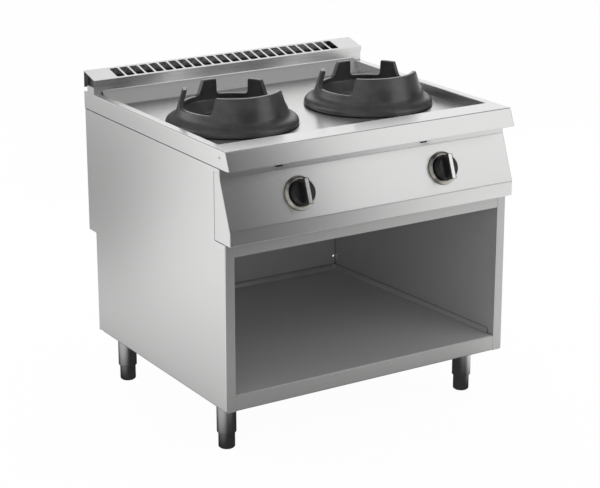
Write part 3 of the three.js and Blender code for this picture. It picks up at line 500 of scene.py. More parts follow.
class Look(Enum):
    """The finishes of this range."""

    SHEET = BrushedSheet("brushed_stainless", "sheet_steel", (0.78, 0.78, 0.775), 0.27, 0.93,
                         lines=0.000001, streak=0.012, smudge=0.02)
    # a darker, duller copy of the stainless: painted shade on faces that look forwards and on the recessed
    # rail, also rougher
    SHADED_FRAME = BrushedSheet("frame_stainless_painted_shade", "sheet_steel", (0.6, 0.6, 0.595), 0.36, 0.75, smudge=0.1)
    INSIDE = BrushedSheet("inner_stainless", "sheet_steel", (0.62, 0.62, 0.62), 0.42, 0.35, smudge=0.5)
    # near-black sheet for the duct under the slotted cover
    DUCT = NearBlackSheet("near_black_sheet", "duct_steel", (0.05, 0.05, 0.05), 0.5)
    ZINC = TurnedMetal("zinc_plated", "pipe_steel", (0.55, 0.56, 0.57), 0.38, rings=500.0)
    STRAP = BrushedSheet("plated_strap", "pipe_steel", (0.5, 0.51, 0.52), 0.4, smudge=0.7)
    IRON = Casting("cast_iron", "cast_iron", (0.1, 0.1, 0.105), 0.38)
    BRASS = TurnedMetal("turned_brass", "brass", (0.62, 0.45, 0.2), 0.3)
    BEZEL = TurnedMetal("circular_brushed_steel", "bezel_steel", (0.5, 0.475, 0.43), 0.26)
    KNOB = Moulding("black_moulding", "knob_black", (0.012, 0.012, 0.013), 0.34)
    POINTER = BrushedSheet("satin_pointer", "pointer_metal", (0.82, 0.82, 0.81), 0.22, fine=2400.0)
    LEG = TurnedMetal("satin_leg_tube", "leg_steel", (0.6, 0.6, 0.6), 0.2, rings=3000.0, contrast=0.03)
    FOOT = TurnedMetal("satin_foot", "foot", (0.56, 0.56, 0.56), 0.22, rings=3000.0, contrast=0.03)


class Palette:
    """Makes each finish's material once."""

    def __init__(self) -> None:
        """Starts with no materials."""
        self._shelf = EffectShelf()
        self._made: dict[Look, bpy.types.Material] = {}

    def get(self, look: Look) -> bpy.types.Material:
        """The material of a finish, made at its first use.

        Args:
            look: Which one.

        Returns:
            The material.
        """
        if look not in self._made:
            self._made[look] = look.value.build(self._shelf)
        return self._made[look]


# ---------------------------------------------------------------- mesh tools, in millimetres
def arc(centre: Point2, radius: float, start: float, end: float, steps: int) -> list[Point2]:
    """Points along an arc of so many chords between two angles in degrees, both ends included."""
    angles = [math.radians(start + (end - start) * i / steps) for i in range(steps + 1)]
    return [(centre[0] + radius * math.cos(a), centre[1] + radius * math.sin(a)) for a in angles]


def eased(points: Sequence[Point2], radius: float, steps: int = 3) -> list[Point2]:
    """A path with its inner corners rounded.

    Args:
        points: The path's points.
        radius: Radius of each corner.
        steps: Chords of each corner.

    Returns:
        The rounded path, ends kept.
    """
    path = [Vector(p) for p in points]
    result = [path[0]]
    for before, corner, after in zip(path, path[1:], path[2:]):
        back, ahead = (before - corner).normalized(), (after - corner).normalized()
        half = math.acos(max(-1.0, min(1.0, back.dot(ahead)))) / 2
        room = min((before - corner).length, (after - corner).length) * 0.49
        setback = min(radius / max(math.tan(half), 1e-6), room)
        middle = corner + (back + ahead).normalized() * (setback / math.cos(half))
        first, last = corner + back * setback - middle, corner + ahead * setback - middle
        for i in range(steps + 1):
            result.append(middle + first.lerp(last, i / steps).normalized() * setback * math.tan(half))
    return [tuple(p) for p in (*result, path[-1])]


def stadium(centre: Point2, width: float, height: float, radius: float,
            place: Callable[[float, float], Point3], steps: int = 5) -> list[Point3]:
    """Outline of a rounded rectangle.

    Args:
        centre: Its centre in its own plane.
        width: Its width.
        height: Its height.
        radius: Radius of its corners.
        place: Puts a point of the plane in space.
        steps: Chords of each corner.

    Returns:
        The outline's points in space.
    """
    w, h = width / 2 - radius, height / 2 - radius
    return [
        place(*point) for dx, dy, turn in ((w, h, 0), (-w, h, 90), (-w, -h, 180), (w, -h, 270))
        for point in arc((centre[0] + dx, centre[1] + dy), radius, turn, turn + 90, steps)]


def circle(radius: float, count: int, place: Callable[[float, float], Point3]) -> list[Point3]:
    """Outline of a circle, placed as stadium does."""
    return [place(*point) for point in arc((0, 0), radius, 0, 360, count)[:-1]]


def turned(profile: Iterable[Point2], degrees: float) -> list[Point3]:
    """A profile of (radius, height) at an angle about Z."""
    turn = math.radians(degrees)
    return [(r * math.cos(turn), r * math.sin(turn), h) for r, h in profile]


class Surface:
    """A mesh that is built face by face, and shares its corner points."""

    def __init__(self, y0: float = 0.0) -> None:
        """Starts empty.

        Args:
            y0: Where Y is counted from, in metres.
        """
        self.mesh = bmesh.new()
        self._y0 = y0
        self._known: dict[tuple[int, ...], bmesh.types.BMVert] = {}

    def vert(self, point: Sequence[float]) -> bmesh.types.BMVert:
        """The vertex at a point.

        Args:
            point: The point in millimetres.

        Returns:
            The vertex, made if it is new.
        """
        place = (point[0] * MM, point[1] * MM + self._y0, point[2] * MM)
        key = tuple(round(c * 1e7) for c in place)
        if key not in self._known:
            self._known[key] = self.mesh.verts.new(place)
        return self._known[key]

    def face(self, points: Iterable[Sequence[float]]) -> None:
        """Adds one face.

        Args:
            points: Its corners in order; repeated ones count once.
        """
        verts = list(dict.fromkeys(self.vert(p) for p in points))
        if len(verts) > 2 and self.mesh.faces.get(verts) is None:
            self.mesh.faces.new(verts)

    def band(self, path: Sequence[Point2], x0: float, x1: float) -> None:
        """Faces along a path in (y, z), from x0 to x1. Going up, they look forwards."""
        for (ya, za), (yb, zb) in zip(path, path[1:]):
            self.face([(x0, ya, za), (x1, ya, za), (x1, yb, zb), (x0, yb, zb)])

    def pierced(self, outer: Sequence[Point3], holes: Iterable[Sequence[Point3]],
                normal: Sequence[float]) -> None:
        """A flat area with holes in it.

        Args:
            outer: The area's outline.
            holes: The holes' outlines.
            normal: The way it looks.
        """
        edges = []
        for loop in (outer, *holes):
            verts = [self.vert(p) for p in loop]
            for a, b in zip(verts, verts[1:] + verts[:1]):
                edges.append(self.mesh.edges.get((a, b)) or self.mesh.edges.new((a, b)))
        way = Vector(normal)
        made = bmesh.ops.triangle_fill(self.mesh, use_beauty=True, use_dissolve=False, edges=edges, normal=way)
        for item in made["geom"]:
            if isinstance(item, bmesh.types.BMFace) and item.normal.dot(way) < 0:
                item.normal_flip()

    def rows(self, rows: Sequence[Sequence[Point3]], closed: bool = True, around: bool = False) -> None:
        """Faces between rows of points, each row as long as the next.

        Args:
            rows: The rows.
            closed: Whether each row closes on itself.
            around: Whether the last row joins the first.
        """
        count = len(rows[0])
        for low, high in list(zip(rows, rows[1:])) + ([(rows[-1], rows[0])] if around else []):
            for i in range(count if closed else count - 1):
                j = (i + 1) % count
                self.face([low[i], low[j], high[j], high[i]])

    def settled(self, outward: Sequence[float] | None = None) -> bmesh.types.BMesh:
        """The mesh with all its faces looking out.

        Args:
            outward: The way that the largest face of an open sheet looks; a closed body needs none.

        Returns:
            The mesh.
        """
        bmesh.ops.recalc_face_normals(self.mesh, faces=self.mesh.faces)
        if outward:
            self.mesh.normal_update()
            largest = max(self.mesh.faces, key=lambda f: f.calc_area())
            if largest.normal.dot(Vector(outward)) < 0:
                bmesh.ops.reverse_faces(self.mesh, faces=self.mesh.faces)
        return self.mesh


def placed(mesh: bmesh.types.BMesh, name: str) -> bpy.types.Object:
    """A mesh as an object of the scene.

    Args:
        mesh: The mesh, which is used up.
        name: The object's name.

    Returns:
        The object.
    """
    data = bpy.data.meshes.new(name)
    mesh.to_mesh(data)
    mesh.free()
    item = bpy.data.objects.new(name, data)
    bpy.context.scene.collection.objects.link(item)
    return item


def applied(item: bpy.types.Object, *others: bpy.types.Object) -> bmesh.types.BMesh:
    """What an object's modifiers make of it.

    Args:
        item: The object, which is removed.
        others: Others that it needed, which are removed too.

    Returns:
        The resulting mesh.
    """
    bpy.context.view_layer.update()
    solid = bpy.data.meshes.new_from_object(item.evaluated_get(bpy.context.evaluated_depsgraph_get()))
    result = bmesh.new()
    result.from_mesh(solid)
    for layer in list(result.edges.layers.float.values()):
        result.edges.layers.float.remove(layer)
    for used in (item, *others):
        data = used.data
        bpy.data.objects.remove(used)
        bpy.data.meshes.remove(data)
    bpy.data.meshes.remove(solid)
    return result


def turns(edge: bmesh.types.BMEdge, degrees: float) -> bool:
    """Whether two faces meet at an edge and turn more than an angle there."""
    return len(edge.link_faces) == 2 and edge.calc_face_angle(0.0) > math.radians(degrees)


@dataclass(frozen=True)
class Item:
    """What a piece is and how it is dressed.

    Attributes:
        node: The node that it replaces.
        kind: The rest of its name.
        look: Its finish.
        front: Another finish for the faces that look forwards, if any; the darker copy used here paints shade
            on them.
        sharp: Edges that turn more than this many degrees stay sharp.
        place: Where its own axes are, if not at the frame's.
    """

    node: str
    kind: str
    look: Look
    front: Look | None = None
    sharp: float = 32.0
    place: Matrix | None = None


@dataclass
class Maker:
    """Turns meshes into pieces of the model.

    Attributes:
        frame: The loaded frame.
        palette: Where materials come from.
        made: The pieces so far.
        least_bend: Shorter edges of a sheet are not bent, in metres.
    """

    frame: Frame
    palette: Palette
    made: list[bpy.types.Object] = field(default_factory=list)
    least_bend: float = 0.009

    def body_of(self, node: str) -> str:
        """The body that carries a node."""
        bodies = self.frame["record"]["behaviour"]["bodies"]
        return next(body for body, nodes in bodies.items() if node in nodes)

    def finish(self, mesh: bmesh.types.BMesh, item: Item) -> None:
        """A mesh becomes a piece: shaded, dressed, and carried by its node's body.

        Args:
            mesh: The mesh, which is used up.
            item: What it is.
        """
        for edge in mesh.edges:
            edge.smooth = not turns(edge, item.sharp)
        layer = mesh.loops.layers.uv.new("across_grain")
        for face in mesh.faces:
            face.smooth = True
            # faces that look forwards take the front finish, a darker copy of the sheet that paints shade
            face.material_index = int(item.front is not None and face.normal.y < -0.7)
            axis = 1 if abs(face.normal.z) > 0.7 else 2
            other = 1 if abs(face.normal.x) > 0.7 else 0
            for loop in face.loops:
                loop[layer].uv = (loop.vert.co[axis], loop.vert.co[other])
        piece = placed(mesh, f"{item.node}_{item.kind}")
        for look in filter(None, (item.look, item.front)):
            piece.data.materials.append(self.palette.get(look))
        if item.place is not None:
            piece.matrix_world = item.place
        piece.modifiers.new("flat_faces", "WEIGHTED_NORMAL").keep_sharp = True
        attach(piece, self.body_of(item.node))
        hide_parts(item.node)
        self.made.append(piece)
        LOG.info("%s: %d faces, %s", piece.name, len(piece.data.polygons), item.look.value.name)

    def folded(self, skin: bmesh.types.BMesh, item: Item, bend: float = 0.0022, hollow: float = 0.0) -> None:
        """A surface becomes a folded sheet, with round bends, thickness and eased cut edges.

        Args:
            skin: The sheet's outer surface.
            item: What it is.
            bend: Radius of its bends, in metres.
            hollow: Radius of the bends that fold towards the outer side, if it differs.
        """
        wide = max(bend, hollow)
        weights = skin.edges.layers.float.new("bevel_weight_edge")
        for edge in skin.edges:
            if turns(edge, 12) and edge.calc_length() > self.least_bend:
                edge[weights] = (hollow if hollow and not edge.is_convex else bend) / wide
        blank = placed(skin, "blank")
        fold = blank.modifiers.new("fold", "BEVEL")
        fold.limit_method, fold.width, fold.segments, fold.use_clamp_overlap = "WEIGHT", wide, 4, False
        plate = blank.modifiers.new("plate", "SOLIDIFY")
        plate.thickness, plate.offset, plate.use_even_offset = SHEET * MM, -1.0, True
        ease = blank.modifiers.new("ease", "BEVEL")
        ease.limit_method, ease.angle_limit, ease.width, ease.segments = "ANGLE", math.radians(60), 0.00025, 1
        self.finish(applied(blank), item)

    def refined(self, node: str, look: Look, ease: float = 0.0004, segments: int = 2) -> None:
        """A copy of a node's own solid, with clean faces and eased edges.

        Args:
            node: The node.
            look: The piece's finish.
            ease: Width of the eased edges, in metres.
            segments: Steps of the easing.
        """
        mesh = bmesh.new()
        mesh.from_mesh(self.frame["nodes"][node].data)
        bmesh.ops.remove_doubles(mesh, verts=mesh.verts, dist=2e-6)
        bmesh.ops.dissolve_limit(mesh, angle_limit=math.radians(0.6), verts=mesh.verts, edges=mesh.edges)
        bmesh.ops.bevel(
            mesh, geom=[e for e in mesh.edges if turns(e, 40)], offset=ease, segments=segments, profile=0.5,
            affect="EDGES", clamp_overlap=True)
        self.finish(mesh, Item(node, "piece", look))

    def lathe(self, profile: Sequence[Point2], steps: int, item: Item,
              shape: Callable[[float, int, Point2], Point2] | None = None) -> None:
        """A closed profile of (radius, height) turned about its own Z axis.

        Args:
            profile: The profile's points, anticlockwise; radius 0 closes on the axis.
            steps: Number of steps round the axis.
            item: What it is.
            shape: Changes a point by its angle in degrees and number, if given.
        """
        surface = Surface()
        rows = []
        for degrees in (360 * i / steps for i in range(steps)):
            row = [shape(degrees, k, p) if shape else p for k, p in enumerate(profile)]
            rows.append(turned(row, degrees))
        surface.rows(rows, closed=profile[0][0] > 0 or profile[-1][0] > 0, around=True)
        self.finish(surface.settled(), replace(item, sharp=40.0))


# ---------------------------------------------------------------- sub-assemblies, Y from the cabinet's front
@dataclass
class Cabinet:
    """Open cabinet: side panels, inner walls, floor, rails, back and rear cover."""

    maker: Maker
    y0: float
    half: float = 400.0
    flange: float = 25.0
    base_depth: float = 666.0
    top_depth: float = 705.0
    underside: float = 129.0
    notch: float = 391.0
    panel_bottom: float = 538.7
    seam_under: float = 711.3
    strip_bottom: float = 701.0
    panel_back: float = 20.8
    cheek_end: float = 45.8
    rear_fold: float = 22.0
    foot_fold: float = 85.0
    corner: float = 5.0
    bend: float = 0.0035
    floor_level: float = 169.0
    floor_edge: float = 372.5
    floor_slant: float = 0.0687
    floor_fold: float = 14.0
    floor_bend: float = 0.008
    fold_start: float = 22.0
    rail_fold: float = 18.0
    floor_leg_gap: float = 0.05
    leg_lift: float = 2.0
    leg_inset: float = 3.0

    def build(self) -> None:
        """Makes every piece of the cabinet."""
        for side, sign in SIDES.items():
            self.side_panel(side, sign)
            self.maker.refined(f"liner_{side}", Look.INSIDE)
        self.upper_rail()
        self.floor()
        for node in ("cabinet_back", "compartment_tray"):
            self.maker.refined(node, Look.INSIDE)
        self.maker.refined("rear_panel", Look.SHEET)

    def side_panel(self, side: str, sign: int) -> None:
        """One side panel with its folds.

        Args:
            side: Its name.
            sign: -1 on the left and 1 on the right.
        """
        low, base, fold, foot = self.underside, self.base_depth, self.rear_fold, self.foot_fold
        seam, deep, notch, bottom = self.seam_under, self.top_depth, self.notch, self.panel_bottom
        cut = arc((self.corner, low + self.corner), self.corner, 180, 270, 5)
        skin = (
            (0, bottom), (self.cheek_end, bottom), (self.cheek_end, self.strip_bottom),
            (self.panel_back, self.strip_bottom), (self.panel_back, seam), (deep, seam), (deep, notch),
            (base, notch), (base, low), (base - fold, low), (fold, low), (0, low + self.corner))
        faces = [  # X counted inwards from the panel's face
            [(0, y, z) for y, z in skin],
            [(x, 0, z) for x, z in ((0, bottom), *cut, (self.flange, low), (self.flange, bottom))],
            [(x, y, low) for x, y in ((0, fold), (0, base - fold), (foot, base - fold), (foot, fold))],
            [(x, base, z) for x, z in ((0, low), (0, notch), (fold, notch), (fold, low))],
            [(x, y, notch) for x, y in ((0, base), (0, deep), (fold, deep), (fold, base))],
            [(x, deep, z) for x, z in ((0, notch), (0, seam), (fold, seam), (fold, notch))]]
        surface = Surface(self.y0)
        for points in faces:
            surface.face([(sign * (self.half - x), y, z) for x, y, z in points][::sign])
        self.maker.folded(surface.settled((sign, 0, 0)),
                          Item(f"side_panel_{side}", "sheet", Look.SHEET, Look.SHADED_FRAME), self.bend)

    def floor(self) -> None:
        """The floor with its bottom rail, its upstands and the legs under it."""
        low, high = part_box("cabinet_floor")
        half, rear, foot = high.x / MM, (high.y - self.y0) / MM, low.z / MM + self.leg_lift
        level, bottom, front = self.floor_level, self.underside, self.fold_start
        under, top, inset = level - SHEET - self.floor_leg_gap, level + self.floor_fold, rear - self.leg_inset
        wide, narrow = (self.floor_edge - self.floor_slant * y for y in (front, rear))
        surface = Surface(self.y0)
        surface.band([(self.rail_fold, bottom), (0, bottom), (0, level)], -half, half)
        surface.face([(-half, 0, level), (half, 0, level), (wide, front, level), (narrow, rear, level),
                      (-narrow, rear, level), (-wide, front, level)])
        surface.band([(rear, level), (rear, top)], -narrow, narrow)
        surface.band([(rear, foot), (rear, under)], -narrow, narrow)
        for sign in SIDES.values():
            surface.face([(sign * wide, front, level), (sign * narrow, rear, level), (sign * narrow, rear, top),
                          (sign * wide, front, top)])
            surface.face([(sign * narrow, y, z) for y, z in (
                (front, foot), (inset, foot), (inset, under), (front, under))])
        self.maker.folded(surface.settled((0, 0, 1)), Item("cabinet_floor", "sheet", Look.INSIDE, Look.SHADED_FRAME),
                          self.bend, self.floor_bend)

    def upper_rail(self) -> None:
        """The upper rail, a channel."""
        low, high = (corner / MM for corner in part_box("upper_rail"))
        surface = Surface()
        surface.band([(high.y, low.z), (low.y, low.z), (low.y, high.z), (high.y, high.z)], low.x, high.x)
        # the darker copy of the stainless paints the shade of the rail's recess under the panel
        self.maker.folded(surface.mesh, Item("upper_rail", "sheet", Look.SHADED_FRAME))


@dataclass
class Worktop:
    """The pressed worktop."""

    maker: Maker
    y0: float
    half: float = 400.0
    seam: float = 713.2
    rim: float = 757.0
    deck: float = 729.5
    rear: float = 705.0
    upstand: float = 649.0
    upstand_top: float = 792.5
    inner_half: float = 377.0
    fascia_foot: float = -25.0
    fascia_return: float = -15.0
    fascia_top: float = -7.0
    front_inner: float = 63.0
    ramp_foot: float = 622.0
    bend: Point2 = (645.0, 761.0)
    tab: Point2 = (686.0, 775.0)
    rivet: Point2 = (19.0, 738.7)
    rivet_radius: float = 2.3
    burner: Point2 = (197.0, 311.0)
    deck_hole: float = 100.0
    collar: float = 8.0
    deck_patch: tuple[int, int] = (2, 4)

    def collared(self, surface: Surface, sign: int) -> list[Point3]:
        """One burner hole's collar.

        Args:
            surface: The worktop's surface.
            sign: -1 on the left and 1 on the right.

        Returns:
            The hole's outline in the deck.
        """
        x, y = sign * self.burner[0], self.burner[1]
        foot, top = (
            circle(self.deck_hole, 64, lambda a, b: (x + a, y + b, z))
            for z in (self.deck, self.deck + self.collar))
        surface.rows([foot, top])
        return foot

    def build(self) -> None:
        """Makes the fascia, rims, recess, collars, upstand and side flanges."""
        rim, deck, up, (bend_y, bend_z) = self.rim, self.deck, self.upstand, self.bend
        cross = self.ramp_foot + (rim - deck) * (bend_y - self.ramp_foot) / (bend_z - deck)
        step_z = bend_z + up - bend_y
        fascia = [(self.fascia_return, self.seam), (self.fascia_foot, self.seam), (self.fascia_top, rim),
                  (self.front_inner, rim)]
        edge = fascia + [(y, rim) for y in (self.front_inner, self.ramp_foot, cross, bend_y, up)] + [
            (up, step_z), (up, self.upstand_top)]
        recess = fascia + [
            (self.front_inner, deck), (self.ramp_foot, deck), (cross, rim), (bend_y, bend_z), (up, step_z),
            (up, step_z), (up, self.upstand_top)]
        stations = [
            (-self.half, edge), (-self.inner_half, edge), (-self.inner_half, recess),
            (self.inner_half, recess), (self.inner_half, edge), (self.half, edge)]
        surface = Surface(self.y0)
        for number, ((xa, pa), (xb, pb)) in enumerate(zip(stations, stations[1:])):
            for k in range(len(edge) - 1):
                patch = [(xa, *pa[k]), (xb, *pb[k]), (xb, *pb[k + 1]), (xa, *pa[k + 1])]
                if (number, k) == self.deck_patch:
                    surface.pierced(patch, [self.collared(surface, sign) for sign in SIDES.values()], (0, 0, 1))
                else:
                    surface.face(patch)
        outline = [
            (self.fascia_foot, self.seam), (self.fascia_return, self.seam), (self.rear, self.seam),
            (self.rear, rim), (self.tab[0], rim), self.tab, (up, self.tab[1]), (up, step_z), (up, rim),
            (bend_y, rim), (cross, rim), (self.ramp_foot, rim), (self.front_inner, rim), (self.fascia_top, rim)]
        for x in (-self.half, self.half):
            hole = circle(self.rivet_radius, 16, lambda a, b: (x, self.rivet[0] + a, self.rivet[1] + b))
            surface.pierced([(x, y, z) for y, z in outline], [hole], (x, 0, 0))
        self.maker.folded(surface.settled((0, 0, 1)), Item("worktop", "pressing", Look.SHEET))


@dataclass
class ControlPanel:
    """The control panel with its cheeks, sight slots and shaft holes."""

    maker: Maker
    y0: float
    half: float = 400.0
    strip: float = 20.5
    cheek_top: float = 700.7
    cheek: float = 1.8
    clearance: float = 0.6
    shaft_hole: float = 8.0
    slot_aside: float = 42.0
    slot: Point2 = (22.0, 9.0)
    slot_corner: float = 4.4

    def build(self) -> None:
        """Makes it."""
        low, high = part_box("control_panel")
        bottom, top, back = low.z / MM, high.z / MM, (high.y - self.y0) / MM - self.clearance
        x, (face, slope_top), (mid_y, mid_z) = self.half, SLOPE_TOP, SLOPE_MIDDLE
        surface = Surface(self.y0)
        surface.band([(back, bottom), (KNEE[0], bottom), KNEE], -x, x)
        shafts = [
            circle(self.shaft_hole, 24, lambda a, b: (
                sign * SHAFT_X + a, mid_y + b * math.sin(LEAN), mid_z + b * math.cos(LEAN)))
            for sign in SIDES.values()]
        surface.pierced([(-x, *KNEE), (x, *KNEE), (x, *SLOPE_TOP), (-x, *SLOPE_TOP)], shafts,
                        (0.0, -math.cos(LEAN), math.sin(LEAN)))
        slots = [
            stadium((sign * SHAFT_X - self.slot_aside, (slope_top + top) / 2), *self.slot, self.slot_corner,
                    lambda a, b: (a, face, b))
            for sign in SIDES.values()]
        surface.pierced([(-x, *SLOPE_TOP), (x, *SLOPE_TOP), (x, face, top), (-x, face, top)], slots, (0, -1, 0))
        narrow, strip = x - self.cheek, self.strip
        surface.face([(px, y, top) for px, y in (
            (-x, face), (x, face), (x, strip), (narrow, strip), (narrow, back), (-narrow, back),
            (-narrow, strip), (-x, strip))])
        for side in (-x, x):
            surface.face([(side, y, z) for y, z in (
                (KNEE[0], bottom), KNEE, SLOPE_TOP, (face, top), (strip, top), (strip, self.cheek_top),
                (back, self.cheek_top), (back, bottom))])
        self.maker.folded(surface.settled((0, -1, 0)), Item("control_panel", "sheet", Look.SHEET))


@dataclass
class Flue:
    """The slotted cover over the flue, and the duct under it."""

    maker: Maker
    y0: float
    half: float = 400.0
    front: Point2 = (645.0, 793.5)
    back: Point2 = (705.0, 809.0)
    lip: float = 12.5
    flange: float = 42.0
    pitch: float = 27.9
    slot: Point2 = (22.5, 46.0)
    slot_corner: float = 4.0
    slot_start: float = 7.0
    count: int = 24

    def build(self) -> None:
        """Makes both."""
        x, (y, z), (rear, top) = self.half, self.front, self.back
        rise = (top - z) / (rear - y)
        surface = Surface(self.y0)
        surface.band([(y, z - self.lip), self.front], -x, x)
        surface.band([self.back, (rear, top - self.flange)], -x, x)
        first = -self.pitch * (self.count - 1) / 2
        slots = [
            stadium((first + i * self.pitch, y + self.slot_start + self.slot[1] / 2), *self.slot,
                    self.slot_corner, lambda a, b: (a, b, z + (b - y) * rise))
            for i in range(self.count)]
        surface.pierced([(-x, y, z), (x, y, z), (x, rear, top), (-x, rear, top)], slots,
                        Vector((0, -rise, 1)).normalized())
        self.maker.folded(surface.settled((0, 0, 1)), Item("flue_cover", "sheet", Look.SHEET))
        self.maker.refined("flue_duct", Look.DUCT)


@dataclass
class Burner:
    """One burner with its cast wok ring, about the burner's own axis, Z from the floor."""

    maker: Maker
    side: str
    place: Matrix
    deck: float = 729.8
    ring_height: float = 86.5
    ring_foot: float = 161.5
    ring_top: float = 119.0
    ring_wall: float = 10.0
    wall_start: float = 33.0
    skirt: float = 98.5
    skirt_wall: float = 6.0
    skirt_depth: float = 35.0
    low_rim: float = 46.0
    lugs: tuple[Point2, ...] = ((30, 9.7), (90, 9.7), (150, 9.7), (270, 49.7))
    lug_side: tuple[Point2, ...] = (
        (-1.4, 86.5), (-0.9, 86.2), (-0.45, 85.3), (-0.1, 83.4), (0.25, 79.0), (1.0, 67.0), (1.55, 57.0),
        (2.0, 53.0), (2.7, 49.9), (3.8, 47.7), (5.2, 46.4), (7.0, 46.0))
    spigot: float = 59.4
    spigot_depth: float = 10.0
    crown: float = 18.0
    port_pitch: float = 22.5
    port_half: float = 2.0
    port_depth: float = 6.0

    def build(self) -> None:
        """Makes the ring, the cap, the bowl and the small fittings."""
        self.ring()
        self.cap()
        self.maker.refined(f"burner_body_{self.side}", Look.IRON, 0.0006)
        self.maker.refined(f"burner_bracket_{self.side}", Look.STRAP)
        for node in ("injector", "pilot_burner", "thermocouple"):
            self.maker.refined(f"{node}_{self.side}", Look.BRASS, 0.0003, 1)

    def ring_stations(self) -> list[Point2]:
        """Where the ring's wall is cut for its three lugs and its shield.

        Returns:
            Angle in degrees and wall height of every station round the ring.
        """
        stations: list[Point2] = []
        for middle, half in self.lugs:
            steps = max(3, round(half / 2.5))
            stations += [
                (middle + i / steps * (half - 1.8), self.ring_height) for i in range(-steps, steps + 1)]
            for offset, height in self.lug_side:
                stations.append(((middle - half - offset) % 360, height))
                stations.append(((middle + half + offset) % 360, height))
        stations.sort()
        filled = []
        for (a, ha), (b, hb) in zip(stations, stations[1:] + [(stations[0][0] + 360, stations[0][1])]):
            filled.append((a, ha))
            extra = int((b - a) // 3.2) if ha == hb else 0
            filled += [(a + (b - a) * i / (extra + 1), self.low_rim) for i in range(1, extra + 1)]
        return filled

    def ring(self) -> None:
        """The cast ring: a flanged foot, a conical wall, three lugs and the front shield."""
        foot, shoulder, start, thick = self.ring_foot, self.ring_foot - 25, self.wall_start, self.ring_wall
        skirt, bore, low = self.skirt, self.skirt - self.skirt_wall, -self.skirt_depth
        lean = (shoulder - 1 - self.ring_top) / (self.ring_height - start)
        base = [
            (foot - 12, 0), (foot - 4, 0), (foot - 2.2, 0.6), (foot - 0.9, 2), (foot, 5), (foot - 0.2, 8.5),
            (foot - 1.6, 12.4), (foot - 4.6, 16.2), (foot - 8.8, 19.2), (foot - 13.6, 21.6), (foot - 18, 24),
            (foot - 21.6, 26.8), (foot - 24.4, 30), (shoulder - 1, start)]
        inner = [
            (shoulder - 1 - thick, start + 1), (shoulder - 14, 28), (skirt + 8, 17.2), (bore + 7, 12.5),
            (bore + 1.5, 9.5), (bore, 6), (bore, low + 0.6), (bore + 0.6, low), (skirt - 0.6, low),
            (skirt, low + 0.6), (skirt, 8), (skirt + 1.5, 9.2), (skirt + 9.5, 10.8), (shoulder - 9, 22.4),
            (shoulder + 1, 16), (foot - 12.5, 9), (foot - 12, 7.5)]

        def wall(height: float, share: float, inset: float = 0.0) -> Point2:
            """A point of a wall of some height, by its share of that height and its depth in the wall."""
            level = start + (height - 3 - start) * share
            return (shoulder - 1 - (level - start) * lean - inset, level)

        rows = []
        for degrees, height in self.ring_stations():
            r = shoulder - 1 - (height - start) * lean
            edge = [
                (r + 0.05, height - 1.6), (r - 0.5, height - 0.6), (r - 1.7, height),
                (r - thick + 1.8, height), (r - thick + 0.5, height - 0.7), (r - thick, height - 2.2)]
            profile = (base + [wall(height, share) for share in (0.2, 0.45, 0.7, 0.88, 1.0)] + edge
                       + [wall(height, share, thick) for share in (0.85, 0.6, 0.3)] + inner)
            rows.append([(x, y, z + self.deck) for x, y, z in turned(profile, degrees)])
        surface = Surface()
        surface.rows(rows, around=True)
        item = Item(f"wok_ring_{self.side}", "casting", Look.IRON, sharp=50.0, place=self.place)
        self.maker.finish(surface.settled(), item)

    def cap(self) -> None:
        """The burner cap with its flame ports."""
        low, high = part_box(f"burner_cap_{self.side}")
        bottom, radius, spigot = low.z / MM, (high.x - low.x) / 2 / MM, self.spigot
        seat = bottom + self.spigot_depth
        top = seat + self.crown
        profile = [(0, bottom)] + eased([
            (spigot - 6, bottom), (spigot, bottom), (spigot, seat), (radius - 8, seat)], 0.8)[1:]
        ported = len(profile)
        profile += [(radius, seat), (radius, seat + 2.5), (radius, seat + 5)]
        profile += eased([(radius, seat + 5), (radius, seat + 8), (radius - 8, top - 3), (radius * 0.4, top),
                          (6, top)], 2.5)[1:] + [(0, top)]

        def port(degrees: float, index: int, point: Point2) -> Point2:
            """Sets the skirt back where a port runs through it.

            Args:
                degrees: The point's angle.
                index: Its number in the profile.
                point: The point.

            Returns:
                The point, moved or not.
            """
            away = abs(degrees % self.port_pitch - self.port_pitch / 2)
            opened = ported <= index < ported + 2 and away < self.port_half
            return (point[0] - self.port_depth, point[1]) if opened else point

        item = Item(f"burner_cap_{self.side}", "casting", Look.IRON, place=self.place)
        self.maker.lathe(profile, 320, item, port)


